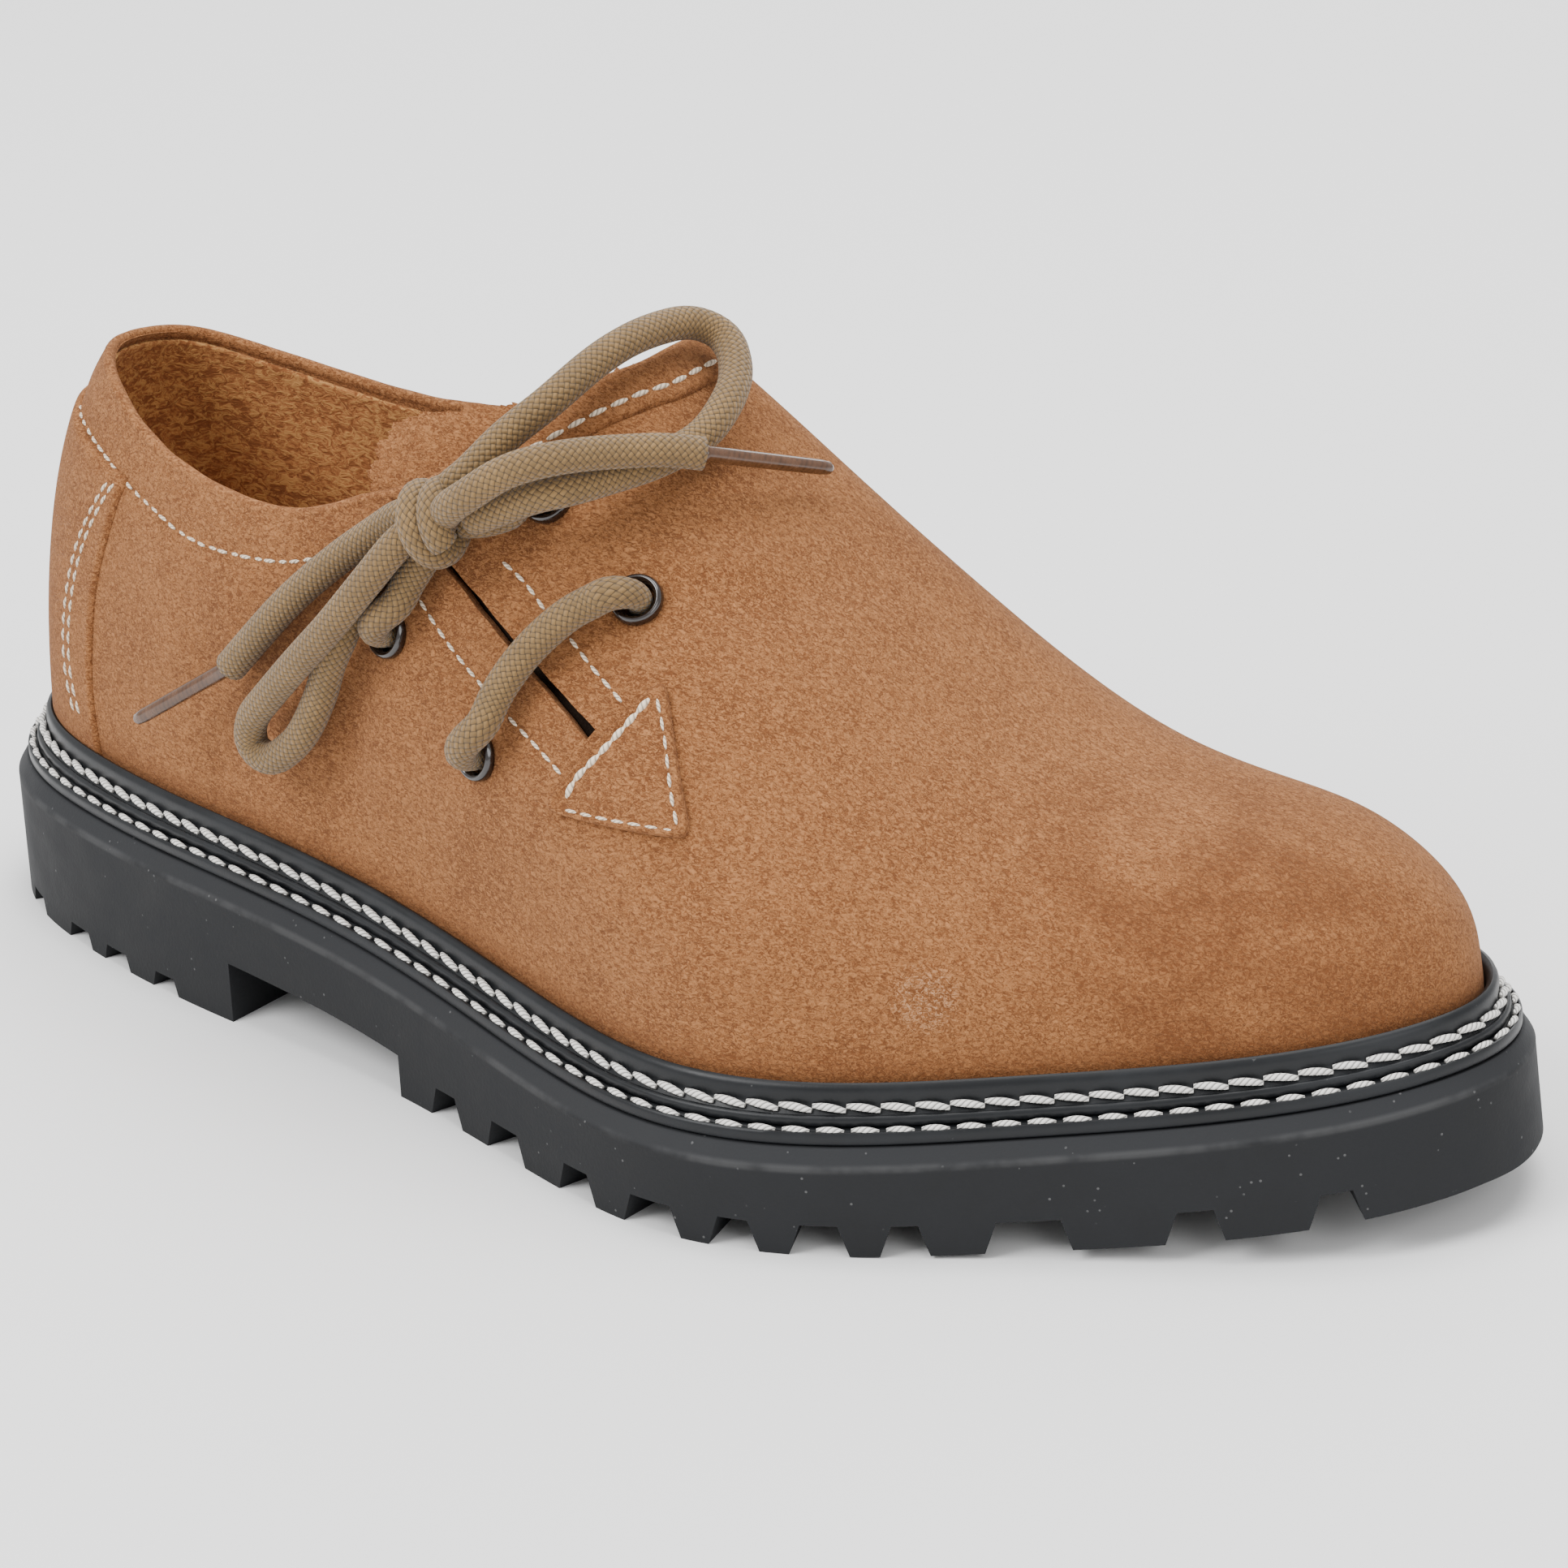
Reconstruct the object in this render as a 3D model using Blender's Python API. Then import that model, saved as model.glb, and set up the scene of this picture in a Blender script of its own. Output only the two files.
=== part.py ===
"""A haferl shoe for the right foot, laced on its outer side, standing on its lugged sole.

Metres. +X is the toe, -Y the outer side of the foot, +Z up, and the floor is Z = 0.
The sole's outline and the last are functions of a few driving sizes and short tables.
The upper, its overlays and the tongue are all cut from the one function of the last.
"""

import math

import bmesh
import bpy
import numpy as np

# Driving sizes of the sole
SOLE_LENGTH = 0.305
SOLE_WIDTH = 0.1205
HEEL_LEVEL = 0.0225  # floor to the lower edge of the side's bevel, at the heel
BALL_LEVEL = 0.0147  # the same, at the ball
TOE_RISE = 0.0100  # how much that edge climbs again to the toe
TREAD_RISE = 0.0088  # how far the tread lifts off the floor at the toe
ARCH_THICK = 0.0112  # bevel edge down to the underside of the arch
WALL_DRAFT = 0.0003  # the sole's wall leans in this much down to the tread
TOE_FLARE = 0.0014  # and at the toe it leans out by this
FLARE_START = 0.750  # share of the length at which it begins to lean out
BEVEL_IN = 0.0019
BEVEL_TALL = 0.0030
HEEL_END = 0.270  # heel breast, as a share of the sole's length from the back
FORE_START = 0.416  # where the forefoot's lugs begin, as such a share
HEEL_LUG_DEEP = 0.0030
FORE_LUG_DEEP = 0.0052
LUG_REACH = 0.0150  # how far a side notch runs in from the edge
GUTTER_WIDE = 0.0026  # long groove between the edge lugs and the middle ones
CROSS_WIDE = 0.0042  # grooves across the middle of the tread

# The layers above the outsole
SEAT_GAP = 0.0003  # clearance between pieces that touch
MIDSOLE_THICK = 0.0021
MIDSOLE_INSET = 0.0021
RAND_INSET = 0.0039  # outer edge of the storm welt's flange
RAND_STEP = 0.0013  # the flange's upright edge
RAND_FLANGE = 0.0023  # height of the flange where the lip stands on it
LIP_FOOT = 0.0059  # inset of the lip's outer face at its foot
LIP_THICK = 0.0019
LIP_TALL = 0.0040
INSOLE_THICK = 0.0030

# Driving sizes of the upper
INSTEP_TALL = 0.1030  # insole level to the top of the last at the instep
BULGE = 0.0032  # most that the sides swell past the feather edge
UPPER_WALL = 0.0020
HEEL_TURN = 0.150  # the last's sections fan out behind this share of the length
TOE_TURN = 0.858  # and in front of this one
TURN_BLEND = 0.0080
COLLAR_HALF = 0.0280  # half the ankle opening, where the collar's heights are given
COLLAR_TALL = 0.0745  # insole level to the back of the collar
SLIT_TOP_WIDE = 0.0008
SLIT_LOW_WIDE = 0.0026
TONGUE_THICK = 0.0016
TONGUE_GAP = 0.0010  # room between tongue and upper, where the lace passes
TONGUE_EDGE = 0.0012  # depth of the tongue's ragged bites
OVERLAY_THICK = 0.0011
THROAT_BAND_WIDE = 0.0060

# Eyelets and lace
EYELET_HOLE = 0.0029
EYELET_BARREL = 0.0005
EYELET_RIM = 0.0044
EYELET_PROUD = 0.0011
LACE_RADIUS = 0.0028
LACE_NECK = 0.0023  # the lace squeezed through an eyelet
AGLET_RADIUS = 0.0013
AGLET_LONG = 0.0250
KNOT_LONG = 0.0160
KNOT_WIDE = 0.0140
KNOT_TALL = 0.0130

# The outline, round from the heel by the outer side to the toe and back:
# along (share of length from the heel), across (share of width, minus is outer)
OUTLINE = (
    (0.002, -0.015),
    (0.029, -0.122),
    (0.126, -0.257),
    (0.258, -0.342),
    (0.372, -0.390),
    (0.471, -0.456),
    (0.569, -0.534),
    (0.641, -0.563),
    (0.716, -0.519),
    (0.815, -0.375),
    (0.913, -0.226),
    (0.978, -0.073),
    (0.999, 0.075),
    (0.972, 0.243),
    (0.908, 0.362),
    (0.815, 0.420),
    (0.716, 0.424),
    (0.569, 0.344),
    (0.471, 0.288),
    (0.372, 0.274),
    (0.258, 0.297),
    (0.126, 0.312),
    (0.029, 0.218),
)

# The last, one row a section:
# along, ridge height (share of INSTEP_TALL), ridge shift (share of width, plus is
# inner), roundness of the section, swelling of the sides (share of BULGE)
LAST = (
    (0.13, 0.833, 0.018, 2.40, -0.15),
    (0.26, 0.940, 0.037, 2.46, 0.50),
    (0.36, 1.002, 0.053, 2.40, 0.75),
    (0.46, 0.986, 0.064, 2.26, 1.00),
    (0.56, 0.826, 0.070, 2.20, 0.90),
    (0.66, 0.613, 0.072, 2.18, 0.65),
    (0.76, 0.432, 0.075, 2.24, 0.40),
    (0.86, 0.350, 0.090, 2.55, 0.20),
)

# The cut that opens collar and throat, seen from the side:
# along, height at the outer side, height at the inner side (shares of COLLAR_TALL)
COLLAR = (
    (-0.050, 1.004, 1.004),
    (0.085, 1.004, 1.004),
    (0.103, 0.986, 0.988),
    (0.128, 0.946, 0.957),
    (0.1525, 0.895, 0.932),
    (0.190, 0.850, 0.905),
    (0.2315, 0.830, 0.885),
    (0.269, 0.825, 0.879),
    (0.293, 0.828, 0.887),
    (0.316, 0.843, 0.895),
    (0.340, 0.877, 0.905),
    (0.357, 0.909, 0.918),
    (0.380, 0.938, 0.950),
    (0.402, 0.972, 0.985),
    (0.420, 1.019, 1.019),
    (0.452, 1.112, 1.112),
    (0.474, 1.181, 1.181),
    (0.486, 1.210, 1.210),
    (0.494, 1.216, 1.216),
    (0.498, 1.260, 1.260),
    (0.501, 1.900, 1.900),
)

# The slit between the facings, from the collar down: along, up (share of COLLAR_TALL)
SLIT = (
    (0.380, 0.945),
    (0.398, 0.903),
    (0.415, 0.869),
    (0.4405, 0.822),
    (0.4695, 0.764),
    (0.4975, 0.707),
    (0.5245, 0.654),
    (0.556, 0.589),
)

# Eyelets: name, along, up (share of COLLAR_TALL)
EYELETS = (
    ("vamp_low", 0.5530, 0.833),
    ("vamp_top", 0.4845, 0.997),
    ("quarter_low", 0.4810, 0.481),
    ("quarter_top", 0.3993, 0.666),
)

# Corners of the three-cornered patch under the slit: along, up
PATCH = ((0.5835, 0.703), (0.6296, 0.438), (0.5394, 0.427))
PATCH_ROUND = 0.12  # how much of each side the rounded corners take

# Front edge of the heel counter, from its foot up: along, up
COUNTER = (
    (0.1240, 0.060),
    (0.1185, 0.170),
    (0.1170, 0.260),
    (0.1186, 0.338),
    (0.1256, 0.506),
    (0.1401, 0.657),
    (0.1524, 0.782),
)
COUNTER_TOP = 0.880  # its upper edge at the back, below the collar's seam

# Back edge of the tongue: across the section (-1 outer feather edge, 0 ridge), along
TONGUE_BACK = (
    (-0.83, 0.397),
    (-0.70, 0.381),
    (-0.62, 0.368),
    (-0.557, 0.3555),
    (-0.524, 0.3528),
    (-0.479, 0.3555),
    (-0.430, 0.3675),
    (-0.392, 0.399),
    (-0.342, 0.431),
    (-0.314, 0.446),
    (-0.220, 0.4700),
    (-0.080, 0.4880),
)
TONGUE_FRONT = 0.606

# Routes of the lace over the last. Each solid one has the eyelet that it starts in, the
# points that it passes, and the eyelet that it ends in, if any. A point is
# along, across the section (-1 outer feather edge, 0 ridge), off the skin (lace radii)
SOLID_ROUTES = {
    "lace_bar": (
        "vamp_low",
        (
            (0.5401, -0.471, 1.75),
            (0.5308, -0.505, 1.57),
            (0.5207, -0.547, 1.39),
            (0.5115, -0.593, 1.36),
            (0.5042, -0.637, 1.39),
            (0.5006, -0.672, 1.57),
            (0.4995, -0.694, 1.80),
        ),
        "quarter_low",
    ),
    "lace_strand_quarter": (
        "quarter_top",
        (
            (0.4187, -0.651, 1.64),
            (0.4220, -0.628, 1.55),
            (0.4270, -0.602, 1.57),
            (0.4330, -0.575, 1.80),
        ),
        "",
    ),
    "lace_strand_vamp": (
        "vamp_top",
        (
            (0.4752, -0.466, 1.55),
            (0.4671, -0.488, 1.40),
            (0.4605, -0.503, 1.55),
        ),
        "",
    ),
}
KNOT = (0.4434, -0.533, 2.75)
CORD_ROUTES = {
    "lace_loop_back": (
        KNOT,
        (0.4330, -0.560, 3.50),
        (0.4239, -0.590, 3.64),
        (0.4149, -0.622, 3.57),
        (0.4018, -0.662, 3.43),
        (0.3840, -0.706, 3.21),
        (0.3605, -0.752, 2.93),
        (0.3392, -0.791, 2.68),
        (0.3202, -0.825, 2.50),
        (0.3073, -0.855, 2.32),
        (0.3066, -0.876, 2.21),
        (0.3172, -0.884, 2.11),
        (0.3304, -0.872, 1.96),
        (0.3439, -0.849, 1.79),
        (0.3556, -0.814, 1.54),
        (0.3620, -0.787, 1.43),
        (0.3690, -0.755, 1.54),
        (0.3775, -0.722, 1.60),
        (0.3835, -0.690, 1.60),
        (0.3905, -0.662, 1.60),
        (0.3980, -0.634, 1.60),
    ),
    "lace_tail_back": (
        KNOT,
        (0.4159, -0.550, 2.32),
        (0.3980, -0.578, 1.79),
        (0.3873, -0.599, 1.64),
        (0.3729, -0.626, 1.50),
        (0.3559, -0.659, 1.43),
        (0.3330, -0.705, 1.43),
        (0.3080, -0.757, 1.43),
        (0.2835, -0.805, 1.43),
    ),
    "lace_loop_front": (
        KNOT,
        (0.4435, -0.497, 3.15),
        (0.4505, -0.470, 3.30),
        (0.4579, -0.430, 3.21),
        (0.4632, -0.392, 3.04),
        (0.4737, -0.321, 2.86),
        (0.4795, -0.238, 2.50),
        (0.4845, -0.154, 2.32),
        (0.4901, -0.075, 2.14),
        (0.4972, -0.027, 2.14),
        (0.5070, -0.012, 2.14),
        (0.5209, -0.031, 2.14),
        (0.5309, -0.069, 2.14),
        (0.5370, -0.118, 2.07),
        (0.5390, -0.162, 1.79),
        (0.5366, -0.209, 1.64),
        (0.5294, -0.272, 1.79),
        (0.5169, -0.341, 2.29),
        (0.5075, -0.390, 3.30),
        (0.5004, -0.415, 3.75),
        (0.4896, -0.445, 3.75),
        (0.4787, -0.474, 3.60),
        (0.4700, -0.495, 3.45),
    ),
    "lace_tail_front": (
        KNOT,
        (0.4620, -0.500, 5.40),
        (0.4730, -0.472, 5.80),
        (0.4848, -0.432, 6.00),
        (0.4991, -0.389, 5.75),
        (0.5110, -0.347, 4.86),
        (0.5233, -0.305, 4.21),
        (0.5363, -0.261, 3.86),
        (0.5487, -0.220, 3.50),
    ),
}
AGLET_ENDS = {
    "aglet_back": ("lace_tail_back", (0.2190, -0.882, 3.75)),
    "aglet_front": ("lace_tail_front", (0.5870, -0.030, 1.80)),
}
# The lace over an eyelet's rim: sideways, off the skin (lace radii)
RIM_ARCH = ((0.00, -0.25), (0.00, 0.90), (0.50, 1.55), (1.45, 1.85))
LACE_STEP = 2.0  # spacing of a cord's points, in LACE_RADIUS
BEND_STEP = 1.1  # and of the lace that bends over a rim

# Counts
STATIONS = 34
RISERS = 11
FINE = 720


def spline(knots, values, at, closed=False):
    """A cubic spline through the values: its slopes solve the usual banded system."""
    knots = np.asarray(knots, float)
    values = np.asarray(values, float)
    values = values.reshape(len(values), -1)
    count = len(knots) - 1 if closed else len(knots)
    step = np.diff(knots)
    rise = np.diff(values, axis=0) / step[:, None]
    system = np.zeros((count, count))
    known = np.zeros((count, values.shape[1]))
    for i in range(0 if closed else 1, count if closed else count - 1):
        before, after = step[i - 1], step[i % len(step)]
        system[i, (i - 1) % count] += after
        system[i, i] += 2 * (before + after)
        system[i, (i + 1) % count] += before
        known[i] = 3 * (after * rise[i - 1] + before * rise[i % len(step)])
    if not closed:
        system[0, :2] = 2, 1
        system[-1, -2:] = 1, 2
        known[0] = 3 * rise[0]
        known[-1] = 3 * rise[-1]
    slopes = np.linalg.solve(system, known)
    if closed:
        slopes = np.vstack([slopes, slopes[:1]])
    at = np.asarray(at, float)
    i = np.clip(np.searchsorted(knots, at) - 1, 0, len(step) - 1)
    t = ((at - knots[i]) / step[i])[..., None]
    h = step[i][..., None]
    start, end = values[i], values[i + 1]
    out = (
        start * (1 + 2 * t) * (1 - t) ** 2
        + end * t * t * (3 - 2 * t)
        + h * slopes[i] * t * (1 - t) ** 2
        - h * slopes[i + 1] * t * t * (1 - t)
    )
    return out[..., 0] if out.shape[-1] == 1 else out


def ease(t):
    t = np.clip(t, 0, 1)
    return t * t * (3 - 2 * t)


def fine_outline():
    """The widest outline of the sole and the tread's, as dense closed loops.

    The tread's is drawn in under the wall and flares out at the toe. Both are centred,
    and the centre they had in the table's own frame comes with them.
    """
    points = np.array(OUTLINE) * (SOLE_LENGTH, SOLE_WIDTH)
    closed = np.vstack([points, points[:1]])
    chord = np.linalg.norm(np.diff(closed, axis=0), axis=1)
    knots = np.concatenate([[0], np.cumsum(chord)])
    at = np.linspace(0, knots[-1], FINE, endpoint=False)
    loop = spline(knots, closed, at, closed=True)
    along = np.roll(loop, -1, axis=0) - np.roll(loop, 1, axis=0)
    along /= np.linalg.norm(along, axis=1)[:, None]
    normal = np.stack([along[:, 1], -along[:, 0]], axis=1)
    near_tip = ease((loop[:, :1] / SOLE_LENGTH - FLARE_START) / (1 - FLARE_START))
    foot = loop + normal * (near_tip * (TOE_FLARE + WALL_DRAFT) - WALL_DRAFT)
    both = np.vstack([loop, foot])
    centre = (both.min(axis=0) + both.max(axis=0)) / 2
    return loop - centre, normal, foot - centre, centre


LOOP, LOOP_NORMAL, TREAD_LOOP, LOOP_CENTRE = fine_outline()
BACK_X, TIP_X = LOOP[:, 0].min(), LOOP[:, 0].max()
FEATHER = LIP_FOOT + LIP_THICK + SEAT_GAP  # inset of the upper's outer face


def x_at(share):
    return BACK_X + np.asarray(share) * (TIP_X - BACK_X)


def share_at(x):
    return (np.asarray(x) - BACK_X) / (TIP_X - BACK_X)


def level(x):
    """Height of the bevel's lower edge: heel, slope of the arch, ball, rise to the toe."""
    share = share_at(x)
    low = HEEL_LEVEL + (BALL_LEVEL - HEEL_LEVEL) * ease((share - 0.225) / 0.393)
    return low + TOE_RISE * np.clip((share - 0.667) / 0.333, 0, 1) ** 2


def tread(x):
    """Height of the tread over the floor: flat to the ball, then the toe spring."""
    return TREAD_RISE * np.clip((share_at(x) - 0.700) / 0.300, 0, 1) ** 2


MIDSOLE_BASE = BEVEL_TALL + SEAT_GAP
RAND_BASE = MIDSOLE_BASE + MIDSOLE_THICK + SEAT_GAP
LIP_TOP = RAND_BASE + RAND_FLANGE + LIP_TALL


def insole_level(x):
    return level(x) + RAND_BASE


def branches(inset):
    """The outline moved in by inset, split into its outer and inner side, heel to toe.

    The word "tread" in place of an inset takes the tread's own outline.
    """
    loop = TREAD_LOOP if inset == "tread" else LOOP - LOOP_NORMAL * inset
    loop = np.roll(loop, -int(loop[:, 0].argmin()), axis=0)
    tip = int(loop[:, 0].argmax())
    return loop[: tip + 1], np.vstack([loop[:1], loop[:tip - 1:-1]])


def side_point(inset, tau):
    """Plan point on the inset outline: tau runs 0 to 1 heel to toe outside, 1 to 2 back."""
    outer, inner = SIDES[inset]
    tau = np.mod(tau, 2)
    on_inner = tau > 1
    share = 0.5 - 0.5 * np.cos(math.pi * np.where(on_inner, 2 - tau, tau))
    x = outer[0, 0] + (outer[-1, 0] - outer[0, 0]) * share
    y = np.where(
        on_inner,
        np.interp(x, inner[:, 0], inner[:, 1]),
        np.interp(x, outer[:, 0], outer[:, 1]),
    )
    return x, y


class Sides(dict):
    def __missing__(self, inset):
        self[inset] = branches(inset)
        return self[inset]


SIDES = Sides()


def ring(inset, height, count=STATIONS):
    """2 x count points of an inset outline, each at height(x)."""
    x, y = side_point(inset, np.arange(2 * count) / count)
    return np.stack([x, y, height(x)], axis=1)


def last(tau, v):
    """The last's skin: tau goes round the feather edge, v from it (0) up to the ridge (1).

    Each section is part of a superellipse between the feather edge and the ridge. Where
    v passes 1 it runs down the other side. Behind HEEL_TURN and in front of TOE_TURN
    the ridge point stands still, so the sections fan out round the heel and the toe.
    """
    tau, v = np.broadcast_arrays(np.asarray(tau, float), np.asarray(v, float))
    over = v > 1
    tau = np.where(over, 2 - np.mod(tau, 2), np.mod(tau, 2))
    v = np.clip(np.where(over, 2 - v, v), 0, 1)
    x, y = side_point(FEATHER, tau)
    near = x_at(HEEL_TURN) + TURN_BLEND * np.logaddexp(0, (x - x_at(HEEL_TURN)) / TURN_BLEND)
    top_x = x_at(TOE_TURN) - TURN_BLEND * np.logaddexp(0, (x_at(TOE_TURN) - near) / TURN_BLEND)
    share = share_at(top_x)
    top_z = ridge(share)
    slope = (ridge(share + 0.004) - ridge(share - 0.004)) / (0.008 * (TIP_X - BACK_X))
    rows = np.array(LAST)
    held = np.clip(share, rows[0, 0], rows[-1, 0])
    top_y = spline(rows[:, 0], rows[:, 2], held) * SOLE_WIDTH - LOOP_CENTRE[1]
    power = 2 / spline(rows[:, 0], rows[:, 3], held)
    swell = spline(rows[:, 0], rows[:, 4], held) * BULGE
    inward = 1 - np.cos(v * math.pi / 2) ** power
    upward = np.sin(v * math.pi / 2) ** power
    base = insole_level(x)
    px = x + (top_x - x) * inward
    py = y + (top_y - y) * inward
    pz = base + upward * (top_z + slope * (px - top_x) - base)
    lip = LIP_TOP - RAND_BASE + 2 * SEAT_GAP
    up = np.clip(1.25 * (pz - base - lip) / (top_z - base - lip), 0, 1)
    ahead_x, ahead_y = side_point(FEATHER, tau + 0.01)
    behind_x, behind_y = side_point(FEATHER, tau - 0.01)
    out_x, out_y = ahead_y - behind_y, behind_x - ahead_x
    size = np.hypot(out_x, out_y)
    swell = swell * np.sin(math.pi * up) ** 2
    return np.stack([px + swell * out_x / size, py + swell * out_y / size, pz], axis=-1)


def ridge(share):
    """Height of the last's ridge over the floor."""
    rows = np.array(LAST)
    tall = spline(rows[:, 0], rows[:, 1], share) * INSTEP_TALL
    return insole_level(x_at(share)) + tall


def skin(tau, v, off=0.0):
    """A point of the last's skin moved out along its normal."""
    tau, v = np.broadcast_arrays(np.asarray(tau, float), np.asarray(v, float))
    along = last(tau + 0.006, v) - last(tau - 0.006, v)
    down, up = np.maximum(v - 0.02, 0.0), v + 0.02
    rise = last(tau, up) - last(tau, down)
    normal = np.cross(along, rise)
    normal /= np.linalg.norm(normal, axis=-1)[..., None]
    return last(tau, v) + np.asarray(off)[..., None] * normal


def tau_at(along, outer=True):
    """The tau of a station given as a share of the length."""
    low, high = SIDES[FEATHER][0][0, 0], SIDES[FEATHER][0][-1, 0]
    share = np.clip((x_at(along) - low) / (high - low), 0, 1)
    tau = np.arccos(1 - 2 * share) / math.pi
    return tau if outer else 2 - tau


def v_at(tau, height):
    """The v of each tau at which the skin reaches a height over the floor."""
    steps = np.linspace(0, 1, 121)
    z = last(np.asarray(tau)[..., None], steps)[..., 2]
    z = np.maximum.accumulate(z, axis=-1)
    found = (z < np.asarray(height)[..., None]).sum(axis=-1)
    i = np.clip(found, 1, len(steps) - 1)
    z0 = np.take_along_axis(z, (i - 1)[..., None], -1)[..., 0]
    z1 = np.take_along_axis(z, i[..., None], -1)[..., 0]
    part = np.clip((height - z0) / np.maximum(z1 - z0, 1e-9), 0, 1)
    return steps[i - 1] + part * (steps[1] - steps[0])


def up_height(up):
    """A share of COLLAR_TALL as a height over the floor, from the heel's insole."""
    return HEEL_LEVEL + RAND_BASE + np.asarray(up) * COLLAR_TALL


def place(along, up, off=0.0, outer=True):
    """A point on the upper's side, given by its station and height."""
    tau = tau_at(along, outer)
    return skin(tau, v_at(tau, up_height(up)), off)


def normal_at(along, up):
    out = place(along, up, 0.001) - place(along, up, 0.0)
    return out / np.linalg.norm(out, axis=-1)[..., None]


def material(name, colour, roughness, metallic=0.0):
    found = bpy.data.materials.get(name)
    if found:
        return found
    made = bpy.data.materials.new(name)
    made.use_nodes = True
    shader = made.node_tree.nodes["Principled BSDF"]
    shader.inputs["Base Color"].default_value = (*colour, 1)
    shader.inputs["Roughness"].default_value = roughness
    shader.inputs["Metallic"].default_value = metallic
    made.diffuse_color = (*colour, 1)
    return made


def suede():
    return material("suede", (0.43, 0.20, 0.08), 0.95)


def rubber():
    return material("rubber", (0.045, 0.048, 0.052), 0.75)


def welt_black():
    return material("welt", (0.025, 0.028, 0.030), 0.45)


def lining():
    return material("lining", (0.36, 0.20, 0.08), 0.9)


def lace_cord():
    return material("lace", (0.28, 0.17, 0.06), 0.85)


def eyelet_enamel():
    return material("eyelet", (0.05, 0.02, 0.012), 0.25)


def aglet_plastic():
    return material("aglet", (0.42, 0.24, 0.14), 0.2)


def solid(name, points, faces, finish, smooth=True):
    mesh = bpy.data.meshes.new(name)
    mesh.from_pydata([tuple(map(float, p)) for p in points], [], faces)
    mesh.update()
    made = bpy.data.objects.new(name, mesh)
    made.data.materials.append(finish)
    bpy.context.scene.collection.objects.link(made)
    if smooth:
        mesh.shade_smooth()
        mesh.set_sharp_from_angle(angle=math.radians(35))
    return made


def band_faces(low, high, count):
    """Quads between two closed rings of points, given by their first indices."""
    return [
        (low + i, low + (i + 1) % count, high + (i + 1) % count, high + i)
        for i in range(count)
    ]


def cap_faces(first, count, upward):
    """Strips straight across an outline of 2 x count matched points."""
    faces = []
    for i in range(count):
        ends = (i, i + 1, (2 * count - i - 1) % (2 * count), (2 * count - i) % (2 * count))
        face = [first + j for k, j in enumerate(ends) if j not in ends[:k]]
        faces.append(tuple(face if upward else face[::-1]))
    return faces


def layered(name, rings, finish, closed_ring=False):
    """A solid from outline rings, bottom to top outside: a plate, or a closed band."""
    count = len(rings[0])
    points = np.vstack(rings)
    faces = []
    for k in range(len(rings) - 1):
        faces += band_faces(k * count, (k + 1) * count, count)
    if closed_ring:
        faces += band_faces((len(rings) - 1) * count, 0, count)
    else:
        faces += cap_faces(0, count // 2, upward=False)
        faces += cap_faces((len(rings) - 1) * count, count // 2, upward=True)
    return solid(name, points, faces, finish)


def slab(name, inner, outer, finish):
    """A closed sheet between two grids of the same shape (rows, columns, 3)."""
    rows, columns = inner.shape[:2]
    total = rows * columns
    at = np.arange(total).reshape(rows, columns)
    faces = []
    for i in range(rows - 1):
        for j in range(columns - 1):
            quad = (at[i, j], at[i + 1, j], at[i + 1, j + 1], at[i, j + 1])
            faces.append(tuple(int(k + total) for k in quad))
            faces.append(tuple(int(k) for k in quad[::-1]))
    edge = [*at[0, :-1], *at[:-1, -1], *at[-1, :0:-1], *at[:0:-1, 0]]
    for a, b in zip(edge, edge[1:] + edge[:1]):
        faces.append((int(a + total), int(b + total), int(b), int(a)))
    points = np.vstack([inner.reshape(-1, 3), outer.reshape(-1, 3)])
    made = solid(name, points, faces, finish)
    face_out(made)
    return made


def face_out(made):
    """Turns the faces of a closed mesh so that they point outwards."""
    work = bmesh.new()
    work.from_mesh(made.data)
    bmesh.ops.recalc_face_normals(work, faces=work.faces)
    work.to_mesh(made.data)
    work.free()


def cut(target, cutter, solver="EXACT"):
    cutter.hide_render = True
    cutter.display_type = "WIRE"
    step = target.modifiers.new(cutter.name, "BOOLEAN")
    step.operation = "DIFFERENCE"
    step.solver = solver
    step.object = cutter


def outsole():
    """Wall, bevel and tread as one plate, then the arch and the lugs' gaps cut from it."""
    sole = layered(
        "outsole",
        [
            ring("tread", tread),
            ring(0.0, level),
            ring(BEVEL_IN, lambda x: level(x) + BEVEL_TALL),
        ],
        rubber(),
    )
    cut(sole, arch_cutter())
    cut(sole, notch_cutter())
    cut(sole, cross_cutter())
    cut(sole, gutter_cutter())
    return sole


def prism(points_low, points_high):
    """Points and faces of a closed prism between two polygons of equal size."""
    count = len(points_low)
    faces = [tuple(range(count))[::-1], tuple(range(count, 2 * count))]
    faces += [(i, (i + 1) % count, count + (i + 1) % count, count + i) for i in range(count)]
    return [*points_low, *points_high], faces


def joined(name, pieces):
    """One cutter object out of prisms that keep clear of each other."""
    points, faces = [], []
    for more_points, more_faces in pieces:
        faces += [tuple(len(points) + i for i in face) for face in more_faces]
        points += list(more_points)
    made = solid(name, points, faces, rubber(), smooth=False)
    return made


def arch_cutter():
    """Takes away what lies under the arch, between the heel's breast and the forefoot."""
    start, end = x_at(HEEL_END), x_at(FORE_START)
    steps = np.linspace(start, end, 7)
    roof = [(x, level(x) - ARCH_THICK) for x in steps]
    side = [(start, -SOLE_WIDTH / 20)] + roof + [(end, -SOLE_WIDTH / 20)]
    low = [(x, -SOLE_WIDTH, z) for x, z in side]
    high = [(x, SOLE_WIDTH, z) for x, z in side]
    made = joined("cut_arch", [prism(low, high)])
    face_out(made)
    return made


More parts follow.
